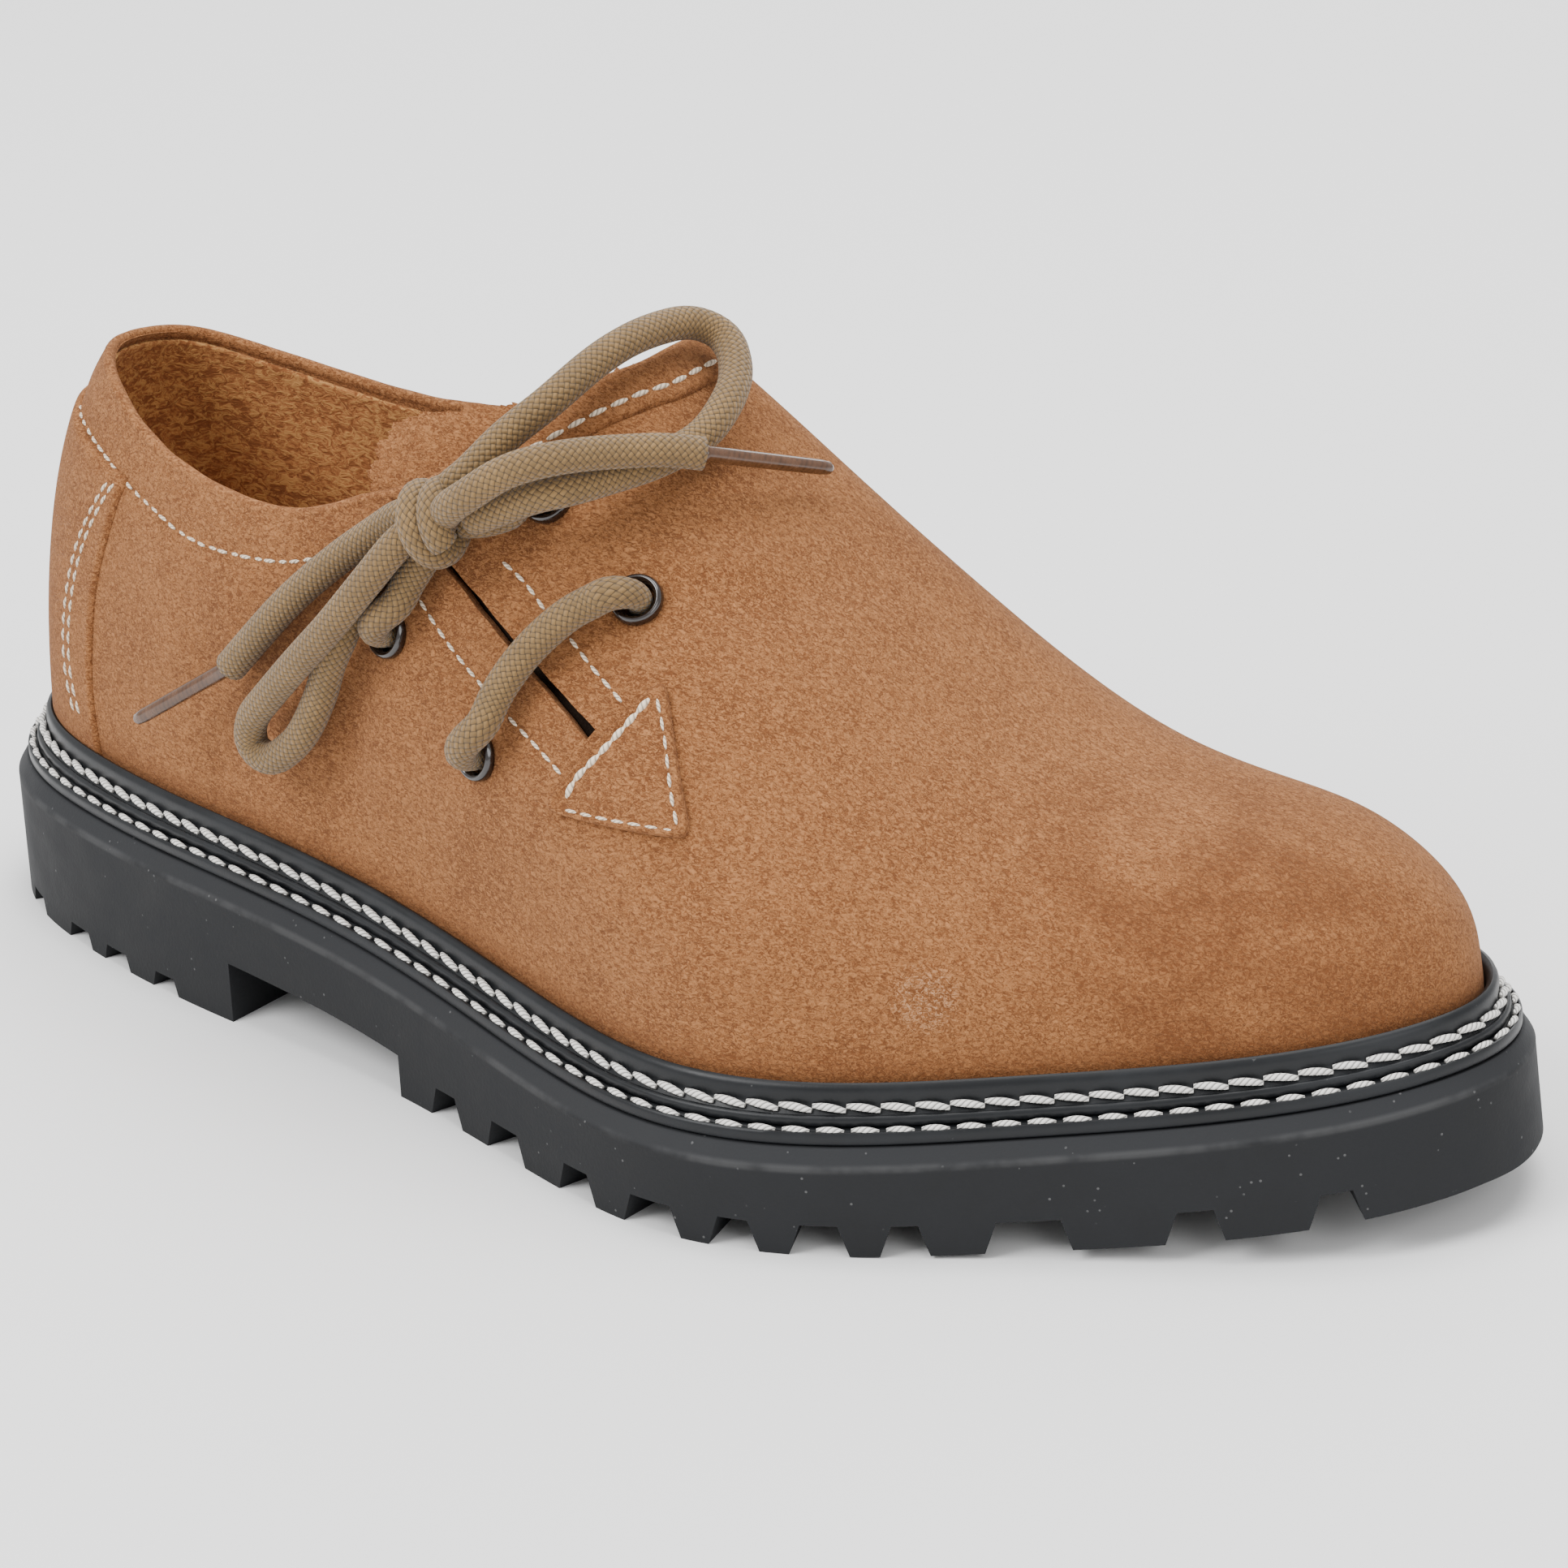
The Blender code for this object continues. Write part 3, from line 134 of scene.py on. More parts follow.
# along, height outside, height inside (shares of COLLAR_TALL)
COLLAR = (
    (-0.050, 1.004, 1.004), (0.085, 1.004, 1.004), (0.103, 0.986, 0.988),
    (0.128, 0.946, 0.957), (0.1525, 0.895, 0.932), (0.190, 0.850, 0.905),
    (0.2315, 0.830, 0.885), (0.269, 0.825, 0.879), (0.293, 0.828, 0.887),
    (0.316, 0.843, 0.895), (0.340, 0.877, 0.905), (0.357, 0.909, 0.918),
    (0.380, 0.938, 0.950), (0.402, 0.972, 0.985), (0.420, 1.019, 1.019),
    (0.452, 1.112, 1.112), (0.474, 1.181, 1.181), (0.486, 1.210, 1.210),
    (0.494, 1.216, 1.216), (0.498, 1.260, 1.260), (0.501, 1.900, 1.900),
)

# along, up (share of COLLAR_TALL)
SLIT = (
    (0.380, 0.945), (0.398, 0.903), (0.415, 0.869), (0.4405, 0.822),
    (0.4695, 0.764), (0.4975, 0.707), (0.5245, 0.654), (0.556, 0.589),
)
EYELETS = {
    "vamp_low": (0.5530, 0.833),
    "vamp_top": (0.4845, 0.997),
    "quarter_low": (0.4810, 0.481),
    "quarter_top": (0.3993, 0.666),
}
PATCH = ((0.5835, 0.703), (0.6296, 0.438), (0.5394, 0.427))
PATCH_ROUND = 0.12
COUNTER = (
    (0.1240, 0.060), (0.1185, 0.170), (0.1170, 0.260), (0.1186, 0.338),
    (0.1256, 0.506), (0.1401, 0.657), (0.1524, 0.782),
)
COUNTER_TOP = 0.880

# across the section (-1 outer feather edge, 0 ridge), along
TONGUE_BACK = (
    (-0.83, 0.397), (-0.70, 0.381), (-0.62, 0.368), (-0.557, 0.3555),
    (-0.524, 0.3528), (-0.479, 0.3555), (-0.430, 0.3675), (-0.392, 0.399),
    (-0.342, 0.431), (-0.314, 0.446), (-0.220, 0.4700), (-0.080, 0.4880),
)
TONGUE_FRONT = 0.606

# Seams as (along, across) points on the skin
SEAMS = {
    "collar": (
        (0.0798, -0.498), (0.1186, -0.546), (0.1469, -0.586),
        (0.1883, -0.635), (0.2309, -0.671), (0.2755, -0.679), (0.3095, -0.673),
        (0.3380, -0.653), (0.3700, -0.628), (0.3930, -0.608),
    ),
    "vamp_facing": (
        (0.4657, -0.538), (0.4908, -0.539), (0.5048, -0.545), (0.5277, -0.547),
        (0.5392, -0.550), (0.5506, -0.551), (0.5695, -0.553),
    ),
    "quarter_facing": (
        (0.4147, -0.642), (0.4386, -0.664), (0.4576, -0.675), (0.4758, -0.681),
        (0.4971, -0.686), (0.5176, -0.687), (0.5475, -0.690),
    ),
    "patch_left": (
        (0.5828, -0.508), (0.5778, -0.553), (0.5705, -0.605), (0.5622, -0.651),
        (0.5565, -0.681), (0.5540, -0.712),
    ),
    "patch_right": ((0.5835, -0.505), (0.5960, -0.537), (0.6111, -0.591), (0.6237, -0.633)),
    "patch_low": ((0.6237, -0.633), (0.6038, -0.659), (0.5794, -0.690), (0.5534, -0.719)),
    "counter": (
        (0.1464, -0.586), (0.1229, -0.659), (0.1092, -0.715), (0.1005, -0.768),
        (0.0950, -0.819), (0.0930, -0.865), (0.0976, -0.915), (0.1060, -0.949),
    ),
}

# Folds: rise (minus sinks), half width, then (along, across) points
FOLDS = (
    (-0.0011, 0.0060, (
        (0.392, -0.700), (0.380, -0.737), (0.3724, -0.787), (0.3651, -0.845), (0.356, -0.900),
    )),
    (0.0006, 0.0060, ((0.412, -0.760), (0.398, -0.810), (0.392, -0.860), (0.385, -0.910))),
    (0.0007, 0.0034, (
        (0.520, -0.455), (0.5343, -0.408), (0.5606, -0.335), (0.5835, -0.262), (0.606, -0.170),
    )),
    (-0.0007, 0.0050, ((0.545, -0.440), (0.566, -0.385), (0.592, -0.310), (0.616, -0.210), (0.63, -0.08))),
    (-0.0006, 0.0070, ((0.600, -0.820), (0.628, -0.740), (0.650, -0.640), (0.662, -0.520))),
    (0.0005, 0.0080, ((0.640, -0.860), (0.672, -0.760), (0.696, -0.640), (0.705, -0.500))),
    (-0.0005, 0.0060, ((0.560, 0.900), (0.585, 0.760), (0.600, 0.620), (0.606, 0.480))),
    (0.0005, 0.0070, ((0.610, 0.900), (0.640, 0.740), (0.655, 0.560))),
    (-0.0007, 0.0080, ((0.300, 0.720), (0.310, 0.800), (0.312, 0.880), (0.305, 0.950))),
    (-0.0006, 0.0070, ((0.230, -0.760), (0.245, -0.820), (0.250, -0.880), (0.246, -0.940))),
    (-0.0005, 0.0040, ((0.4147, -0.642), (0.4576, -0.675), (0.4971, -0.686), (0.5475, -0.690))),
    (-0.0005, 0.0040, ((0.4657, -0.538), (0.5048, -0.545), (0.5392, -0.550), (0.5695, -0.553))),
    (-0.0006, 0.0022, (
        (0.030, -0.420), (0.1186, -0.546), (0.1883, -0.635),
        (0.2309, -0.671), (0.3095, -0.673), (0.3930, -0.608),
    )),
    (-0.0006, 0.0022, (
        (0.030, 0.420), (0.1186, 0.490), (0.1883, 0.560),
        (0.2309, 0.590), (0.3095, 0.590), (0.3930, 0.540),
    )),
)

# Routes of the lace: along, across, off the skin (lace radii)
LACE_BAR = (
    (0.5401, -0.471, 1.75), (0.5308, -0.505, 1.57), (0.5207, -0.547, 1.39),
    (0.5115, -0.593, 1.36), (0.5042, -0.637, 1.39), (0.5006, -0.672, 1.57),
    (0.4995, -0.694, 1.80),
)
KNOT = (0.4434, -0.533, 2.75)
STRANDS = {
    "strand_quarter": ("quarter_top", (
        (0.4187, -0.651, 1.64), (0.4220, -0.628, 1.55), (0.4270, -0.602, 1.57),
        (0.4330, -0.575, 1.80), (0.4400, -0.545, 2.10),
    )),
    "strand_vamp": ("vamp_top", (
        (0.4752, -0.466, 1.55), (0.4671, -0.488, 1.40), (0.4605, -0.503, 1.55),
        (0.4500, -0.520, 2.00),
    )),
}
CORDS = {
    "loop_back": (
        KNOT, (0.4330, -0.560, 3.50), (0.4239, -0.590, 3.64), (0.4149, -0.622, 3.57),
        (0.4018, -0.662, 3.43), (0.3840, -0.706, 3.21), (0.3605, -0.752, 2.93),
        (0.3392, -0.791, 2.68), (0.3202, -0.825, 2.50), (0.3073, -0.855, 2.32),
        (0.3066, -0.876, 2.21), (0.3172, -0.884, 2.11), (0.3304, -0.872, 1.96),
        (0.3439, -0.849, 1.79), (0.3556, -0.814, 1.54), (0.3620, -0.787, 1.43),
        (0.3690, -0.755, 1.54), (0.3775, -0.722, 1.60), (0.3835, -0.690, 1.60),
        (0.3905, -0.662, 1.60), (0.3980, -0.634, 1.60), (0.4120, -0.598, 1.90),
        (0.4260, -0.566, 2.20),
    ),
    "tail_back": (
        KNOT, (0.4159, -0.550, 2.32), (0.3980, -0.578, 1.79), (0.3873, -0.599, 1.64),
        (0.3729, -0.626, 1.50), (0.3559, -0.659, 1.43), (0.3330, -0.705, 1.43),
        (0.3080, -0.757, 1.43), (0.2835, -0.805, 1.43),
    ),
    "loop_front": (
        KNOT, (0.4435, -0.497, 3.15), (0.4505, -0.470, 3.30), (0.4579, -0.430, 3.21),
        (0.4632, -0.392, 3.04), (0.4737, -0.321, 2.86), (0.4795, -0.238, 2.50),
        (0.4845, -0.154, 2.32), (0.4901, -0.075, 2.14), (0.4972, -0.027, 2.14),
        (0.5070, -0.012, 2.14), (0.5209, -0.031, 2.14), (0.5309, -0.069, 2.14),
        (0.5370, -0.118, 2.07), (0.5390, -0.162, 1.79), (0.5366, -0.209, 1.64),
        (0.5294, -0.272, 1.79), (0.5169, -0.341, 2.29), (0.5075, -0.390, 3.30),
        (0.5004, -0.415, 3.75), (0.4896, -0.445, 3.75), (0.4787, -0.474, 3.60),
        (0.4640, -0.505, 3.20),
    ),
    "tail_front": (
        KNOT, (0.4620, -0.500, 5.00), (0.4730, -0.472, 5.60), (0.4848, -0.432, 5.90),
        (0.4991, -0.389, 5.75), (0.5110, -0.347, 4.86), (0.5233, -0.305, 4.21),
        (0.5363, -0.261, 3.86), (0.5487, -0.220, 3.50),
    ),
}
AGLET_ENDS = {
    "aglet_back": ("tail_back", (0.2190, -0.882, 3.75)),
    "aglet_front": ("tail_front", (0.5870, -0.030, 1.80)),
}
RIM_ARCH = ((0.00, -0.60), (0.00, 0.90), (0.50, 1.55), (1.45, 1.85))


def spline(knots, values, at, closed=False):
    """A cubic spline through the values: its slopes solve the usual banded system."""
    knots = np.asarray(knots, float)
    values = np.asarray(values, float)
    values = values.reshape(len(values), -1)
    count = len(knots) - 1 if closed else len(knots)
    step = np.diff(knots)
    rise = np.diff(values, axis=0) / step[:, None]
    system = np.zeros((count, count))
    known = np.zeros((count, values.shape[1]))
    for i in range(0 if closed else 1, count if closed else count - 1):
        before, after = step[i - 1], step[i % len(step)]
        system[i, (i - 1) % count] += after
        system[i, i] += 2 * (before + after)
        system[i, (i + 1) % count] += before
        known[i] = 3 * (after * rise[i - 1] + before * rise[i % len(step)])
    if not closed:
        system[0, :2] = 2, 1
        system[-1, -2:] = 1, 2
        known[0] = 3 * rise[0]
        known[-1] = 3 * rise[-1]
    slopes = np.linalg.solve(system, known)
    if closed:
        slopes = np.vstack([slopes, slopes[:1]])
    at = np.asarray(at, float)
    i = np.clip(np.searchsorted(knots, at) - 1, 0, len(step) - 1)
    t = ((at - knots[i]) / step[i])[..., None]
    h = step[i][..., None]
    out = (
        values[i] * (1 + 2 * t) * (1 - t) ** 2
        + values[i + 1] * t * t * (3 - 2 * t)
        + h * slopes[i] * t * (1 - t) ** 2
        - h * slopes[i + 1] * t * t * (1 - t)
    )
    return out[..., 0] if out.shape[-1] == 1 else out


def ease(t):
    t = np.clip(t, 0, 1)
    return t * t * (3 - 2 * t)


def fine_outline(count):
    """The sole's outline and the tread's, as dense closed loops about their centre."""
    points = np.array(OUTLINE) * (SOLE_LENGTH, SOLE_WIDTH)
    closed = np.vstack([points, points[:1]])
    chord = np.linalg.norm(np.diff(closed, axis=0), axis=1)
    knots = np.concatenate([[0], np.cumsum(chord)])
    loop = spline(knots, closed, np.linspace(0, knots[-1], count, endpoint=False), closed=True)
    along = np.roll(loop, -1, axis=0) - np.roll(loop, 1, axis=0)
    along /= np.linalg.norm(along, axis=1)[:, None]
    normal = np.stack([along[:, 1], -along[:, 0]], axis=1)
    near_tip = ease((loop[:, :1] / SOLE_LENGTH - FLARE_START) / (1 - FLARE_START))
    foot = loop + normal * (near_tip * (TOE_FLARE + WALL_DRAFT) - WALL_DRAFT)
    both = np.vstack([loop, foot])
    centre = (both.min(axis=0) + both.max(axis=0)) / 2
    return loop - centre, normal, foot - centre, centre


LOOP, LOOP_NORMAL, TREAD_LOOP, LOOP_CENTRE = fine_outline(2880)
BACK_X, TIP_X = LOOP[:, 0].min(), LOOP[:, 0].max()


def x_at(share):
    return BACK_X + np.asarray(share) * (TIP_X - BACK_X)


def share_at(x):
    return (np.asarray(x) - BACK_X) / (TIP_X - BACK_X)


def level(x):
    """Height of the bevel's lower edge along the shoe."""
    share = share_at(x)
    low = HEEL_LEVEL + (BALL_LEVEL - HEEL_LEVEL) * ease((share - 0.225) / 0.393)
    return low + TOE_RISE * np.clip((share - 0.667) / 0.333, 0, 1) ** 2


def tread(x):
    return TREAD_RISE * np.clip((share_at(x) - 0.700) / 0.300, 0, 1) ** 2


def insole_level(x):
    return level(x) + RAND_BASE


def branches(inset):
    """The outline moved in by inset, split into its outer and inner side, heel to toe."""
    loop = TREAD_LOOP if inset == "tread" else LOOP - LOOP_NORMAL * inset
    loop = np.roll(loop, -int(loop[:, 0].argmin()), axis=0)
    tip = int(loop[:, 0].argmax())
    return loop[: tip + 1], np.vstack([loop[:1], loop[: tip - 1 : -1]])


SIDES = {}


def side_point(inset, tau):
    """Plan point on the inset outline: tau runs 0 to 1 heel to toe outside, 1 to 2 back."""
    if inset not in SIDES:
        SIDES[inset] = branches(inset)
    outer, inner = SIDES[inset]
    tau = np.mod(tau, 2)
    on_inner = tau > 1
    share = 0.5 - 0.5 * np.cos(math.pi * np.where(on_inner, 2 - tau, tau))
    x = outer[0, 0] + (outer[-1, 0] - outer[0, 0]) * share
    inside = np.interp(x, inner[:, 0], inner[:, 1])
    return x, np.where(on_inner, inside, np.interp(x, outer[:, 0], outer[:, 1]))


def ring(inset, height, count):
    x, y = side_point(inset, np.arange(2 * count) / count)
    return np.stack([x, y, height(x)], axis=1)


def ridge(share):
    rows = np.array(LAST)
    tall = spline(rows[:, 0], rows[:, 1], share) * INSTEP_TALL
    return insole_level(x_at(share)) + tall


def last(tau, v):
    """The last's skin: a superellipse section from the feather edge (v 0) to the ridge (1)."""
    tau, v = np.broadcast_arrays(np.asarray(tau, float), np.asarray(v, float))
    over = v > 1
    tau = np.where(over, 2 - np.mod(tau, 2), np.mod(tau, 2))
    v = np.clip(np.where(over, 2 - v, v), 0, 1)
    x, y = side_point(FEATHER, tau)
    near = x_at(HEEL_TURN) + TURN_BLEND * np.logaddexp(0, (x - x_at(HEEL_TURN)) / TURN_BLEND)
    top_x = x_at(TOE_TURN) - TURN_BLEND * np.logaddexp(0, (x_at(TOE_TURN) - near) / TURN_BLEND)
    share = share_at(top_x)
    top_z = ridge(share)
    slope = (ridge(share + 0.004) - ridge(share - 0.004)) / (0.008 * (TIP_X - BACK_X))
    rows = np.array(LAST)
    held = np.clip(share, rows[0, 0], rows[-1, 0])
    top_y = spline(rows[:, 0], rows[:, 2], held) * SOLE_WIDTH - LOOP_CENTRE[1]
    power = 2 / spline(rows[:, 0], rows[:, 3], held)
    swell = spline(rows[:, 0], rows[:, 4], held) * BULGE
    inward = 1 - np.cos(v * math.pi / 2) ** power
    upward = np.sin(v * math.pi / 2) ** power
    base = insole_level(x)
    px = x + (top_x - x) * inward
    py = y + (top_y - y) * inward
    pz = base + upward * (top_z + slope * (px - top_x) - base)
    lip = LIP_TOP - RAND_BASE + 2 * SEAT_GAP
    up = np.clip(1.25 * (pz - base - lip) / (top_z - base - lip), 0, 1)
    ahead_x, ahead_y = side_point(FEATHER, tau + 0.01)
    behind_x, behind_y = side_point(FEATHER, tau - 0.01)
    out_x, out_y = ahead_y - behind_y, behind_x - ahead_x
    size = np.hypot(out_x, out_y)
    swell = swell * np.sin(math.pi * up) ** 2
    return np.stack([px + swell * out_x / size, py + swell * out_y / size, pz], axis=-1)


def last_normal(tau, v):
    along = last(tau + 0.006, v) - last(tau - 0.006, v)
    rise = last(tau, v + 0.02) - last(tau, np.maximum(v - 0.02, 0.0))
    normal = np.cross(along, rise)
    return normal / np.maximum(np.linalg.norm(normal, axis=-1), 1e-12)[..., None]


def skin(tau, v, off=0.0):
    """A point of the last's skin moved out along its normal."""
    tau, v = np.broadcast_arrays(np.asarray(tau, float), np.asarray(v, float))
    return last(tau, v) + np.asarray(off)[..., None] * last_normal(tau, v)


def tau_at(along, outer=True):
    side_point(FEATHER, 0.0)
    low, high = SIDES[FEATHER][0][0, 0], SIDES[FEATHER][0][-1, 0]
    share = np.clip((x_at(along) - low) / (high - low), 0, 1)
    tau = np.arccos(1 - 2 * share) / math.pi
    return tau if outer else 2 - tau


def v_at(tau, height):
    """The v of each tau at which the skin reaches a height over the floor."""
    steps = np.linspace(0, 1, 121)
    z = np.maximum.accumulate(last(np.asarray(tau)[..., None], steps)[..., 2], axis=-1)
    found = (z < np.asarray(height)[..., None]).sum(axis=-1)
    i = np.clip(found, 1, len(steps) - 1)
    z0 = np.take_along_axis(z, (i - 1)[..., None], -1)[..., 0]
    z1 = np.take_along_axis(z, i[..., None], -1)[..., 0]
    part = np.clip((height - z0) / np.maximum(z1 - z0, 1e-9), 0, 1)
    return steps[i - 1] + part * (steps[1] - steps[0])


def up_height(up):
    return HEEL_LEVEL + RAND_BASE + np.asarray(up) * COLLAR_TALL


def at_height(along, up):
    """The (tau, v) of a place on the outer side, given by its station and height."""
    tau = tau_at(np.asarray(along, float))
    return tau, v_at(tau, up_height(up))


def at_across(rows):
    """The (tau, v) of (along, across) rows: across runs from -1 outside over the ridge."""
    rows = np.array(rows, float)
    across = rows[:, 1]
    tau = tau_at(rows[:, 0])
    return np.where(across <= 0, tau, 2 - tau), 1 - np.abs(across)


def smooth_rows(points, count):
    """count points at even steps on the smooth curve through some points."""
    points = np.asarray(points, float)
    chord = np.linalg.norm(np.diff(points, axis=0), axis=1)
    knots = np.concatenate([[0], np.cumsum(chord)])
    return spline(knots, points, np.linspace(0, knots[-1], count))


def fold_lines():
    lines = []
    for rise, wide, rows in FOLDS:
        dense = smooth_rows(rows, 28)
        line = last(*at_across(dense))
        fade = np.sin(np.linspace(0, math.pi, len(line))) ** 0.45
        lines.append((rise, wide, line, fade))
    return lines


FOLD_LINES = fold_lines()


def relief(points):
    """The folds at some points: each is rise x fade x exp(-(distance / width) squared)."""
    flat = points.reshape(-1, 3)
    total = np.zeros(len(flat))
    for rise, wide, line, fade in FOLD_LINES:
        near = ((flat > line.min(axis=0) - 3 * wide) & (flat < line.max(axis=0) + 3 * wide)).all(axis=1)
        away = np.linalg.norm(flat[near][:, None, :] - line[None], axis=2)
        if away.size:
            total[near] += rise * (fade * np.exp(-((away / wide) ** 2))).max(axis=1)
    return total.reshape(points.shape[:-1])


def hide(tau, v, off=0.0):
    """The leather's surface: the last's skin, its folds, and off along the normal."""
    tau, v = np.broadcast_arrays(np.asarray(tau, float), np.asarray(v, float))
    base = last(tau, v)
    return base + (np.asarray(off) + relief(base))[..., None] * last_normal(tau, v)


def collar_height(x, y):
    """Height of the collar's cut at a place: outer and inner line, blended between them."""
    rows = np.array(COLLAR)
    shares = np.linspace(rows[0, 0], rows[-1, 0], 1600)
    kernel = np.hanning(41) / np.hanning(41).sum()
    lines = []
    for column in (1, 2):
        line = np.interp(shares, rows[:, 0], rows[:, column])
        padded = np.pad(line, 20, mode="edge")
        lines.append(np.interp(share_at(x), shares, np.convolve(padded, kernel, "valid")))
    inner = np.clip((np.asarray(y) + COLLAR_HALF) / (2 * COLLAR_HALF), 0, 1)
    return up_height(lines[0] + (lines[1] - lines[0]) * inner)


# Mesh building: a cord's or stitch's UV runs one unit for each UV_PITCH of its length
UV_PITCH = 0.001
PLATE_SINK = 0.0004


def grid_faces(rows, columns, wrap=False, loop=False, first=0):
    """Quads of a rows x columns grid; wrap closes its columns, loop its rows."""
    at = first + np.arange(rows * columns).reshape(rows, columns)
    if wrap:
        at = np.concatenate([at, at[:, :1]], axis=1)
    if loop:
        at = np.concatenate([at, at[:1]], axis=0)
    return np.stack([at[:-1, :-1], at[:-1, 1:], at[1:, 1:], at[1:, :-1]], axis=-1).reshape(-1, 4)


def new_piece(name, points, faces, finish, uv=None):
    """A mesh piece from points, faces (an array or a list) and a UV for each corner."""
    mesh = bpy.data.meshes.new(name)
    rows = faces.tolist() if hasattr(faces, "tolist") else faces
    mesh.from_pydata(np.asarray(points, float).reshape(-1, 3).tolist(), [], rows)
    if uv is not None:
        layer = mesh.uv_layers.new(name="UVMap")
        layer.data.foreach_set("uv", np.asarray(uv, np.float32).ravel())
    mesh.materials.append(finish)
    mesh.shade_smooth()
    mesh.update()
    made = bpy.data.objects.new(name, mesh)
    bpy.context.scene.collection.objects.link(made)
    return made


def grid_uv(rows, columns, u, v, wrap=False):
    """Corner UVs of a grid from a u for each row and a v for each column."""
    last_column = columns if wrap else columns - 1
    u = np.asarray(u, float)
    v = np.asarray(v, float)
    if wrap:
        v = np.append(v, 2 * v[-1] - v[-2])
    i, j = np.meshgrid(np.arange(rows - 1), np.arange(last_column), indexing="ij")
    corners = ((i, j), (i, j + 1), (i + 1, j + 1), (i + 1, j))
    return np.stack([np.stack([u[a], v[b]], axis=-1) for a, b in corners], axis=2).reshape(-1, 2)


def face_out(piece):
    """Turns a closed mesh's faces outwards."""
    work = bmesh.new()
    work.from_mesh(piece.data)
    bmesh.ops.recalc_face_normals(work, faces=work.faces)
    work.to_mesh(piece.data)
    work.free()


def read_at(at, length, rows):
    """Rows of three numbers, given at some lengths, read at others."""
    return np.stack([np.interp(at, length, rows[:, k]) for k in range(3)], axis=-1)


def frames_along(path, side):
    """Tangent, side and up of each path point, the side made square to the tangent."""
    tangent = np.gradient(path, axis=0)
    tangent /= np.linalg.norm(tangent, axis=1)[:, None]
    side = side - tangent * (side * tangent).sum(axis=1)[:, None]
    side /= np.linalg.norm(side, axis=1)[:, None]
    return tangent, side, np.cross(tangent, side)


def rolled_side(path):
    """A side vector carried along the path with no twist of its own."""
    tangent = np.gradient(path, axis=0)
    tangent /= np.linalg.norm(tangent, axis=1)[:, None]
    side = np.zeros_like(path)
    side[0] = np.cross(tangent[0], (0.31, 0.22, 0.92))
    for i in range(1, len(path)):
        moved = side[i - 1] - tangent[i] * (side[i - 1] @ tangent[i])
        side[i] = moved / np.linalg.norm(moved)
    side[0] /= np.linalg.norm(side[0])
    return side


def swept(name, path, side, profile, finish, radii=1.0, loop=False):
    """A profile of (sideways, upward) points carried along a path."""
    _, side, up = frames_along(path, side)
    profile = np.asarray(profile, float)
    scale = np.broadcast_to(radii, len(path))[:, None, None]
    across = side[:, None, :] * profile[None, :, :1] + up[:, None, :] * profile[None, :, 1:]
    grid = path[:, None, :] + scale * across
    rows, columns = grid.shape[:2]
    faces = grid_faces(rows, columns, wrap=True, loop=loop)
    length = np.concatenate([[0], np.cumsum(np.linalg.norm(np.diff(path, axis=0), axis=1))])
    if loop:
        return closed_out(new_piece(name, grid, faces, finish))
    uv = grid_uv(rows, columns, length / UV_PITCH, np.arange(columns) / columns, wrap=True)
    uv = np.vstack([uv, np.zeros((2 * columns, 2))])
    faces = faces.tolist()
    faces.append(list(range(columns))[::-1])
    faces.append(list(range((rows - 1) * columns, rows * columns)))
    return closed_out(new_piece(name, grid, faces, finish, uv))


def closed_out(piece):
    face_out(piece)
    piece.data.shade_smooth()
    return piece


def oval(half_wide, half_tall, sides):
    angles = np.arange(sides) * 2 * math.pi / sides
    return np.stack([half_wide * np.cos(angles), half_tall * np.sin(angles)], axis=1)


def plate(name, tau, v, thick, border, finish):
    """A sheet on the leather over a grid of (tau, v), its border rounded down."""
    rows, columns = tau.shape
    mid = last(tau, v)
    step_i = np.linalg.norm(np.diff(mid, axis=0), axis=2)
    step_j = np.linalg.norm(np.diff(mid, axis=1), axis=2)
    along_i = np.concatenate([np.zeros((1, columns)), np.cumsum(step_i, axis=0)])
    along_j = np.concatenate([np.zeros((rows, 1)), np.cumsum(step_j, axis=1)], axis=1)
    edge = np.minimum.reduce([along_i, along_i[-1:] - along_i, along_j, along_j[:, -1:] - along_j])
    crown = np.sqrt(1 - (1 - np.clip(edge / border, 0, 1)) ** 2)
    high = hide(tau, v, thick * (0.25 + 0.75 * crown))
    low = hide(tau, v, -PLATE_SINK)
    return slab(name, low, high, finish)


def slab(name, low, high, finish):
    """A closed sheet between two grids of the same shape."""
    rows, columns = low.shape[:2]
    total = rows * columns
    at = np.arange(total).reshape(rows, columns)
    faces = [grid_faces(rows, columns), grid_faces(rows, columns, first=total)[:, ::-1]]
    edge = np.concatenate([at[0, :-1], at[:-1, -1], at[-1, :0:-1], at[:0:-1, 0]])
    follow = np.roll(edge, -1)
    faces.append(np.stack([edge + total, follow + total, follow, edge], axis=1))
    points = np.vstack([low.reshape(-1, 3), high.reshape(-1, 3)])
    return closed_out(new_piece(name, points, np.vstack(faces), finish))


def cut_with(piece, cutters):
    """Cuts closed pieces out of another and applies the cuts."""
    for cutter in cutters:
        step = piece.modifiers.new(cutter.name, "BOOLEAN")
        step.operation = "DIFFERENCE"
        step.solver = "MANIFOLD"
        step.object = cutter
    apply_modifiers(piece)
    for cutter in cutters:
        bpy.data.objects.remove(cutter)


def apply_modifiers(piece):
    graph = bpy.context.evaluated_depsgraph_get()
    mesh = bpy.data.meshes.new_from_object(piece.evaluated_get(graph))
    piece.modifiers.clear()
    old = piece.data
    piece.data = mesh
    mesh.name = piece.name
    bpy.data.meshes.remove(old)


def prism(low, high):
    """A closed prism between two polygons, as points and faces."""
    count = len(low)
    faces = [list(range(count))[::-1], list(range(count, 2 * count))]
    faces += [[i, (i + 1) % count, count + (i + 1) % count, count + i] for i in range(count)]
    return np.vstack([low, high]), faces


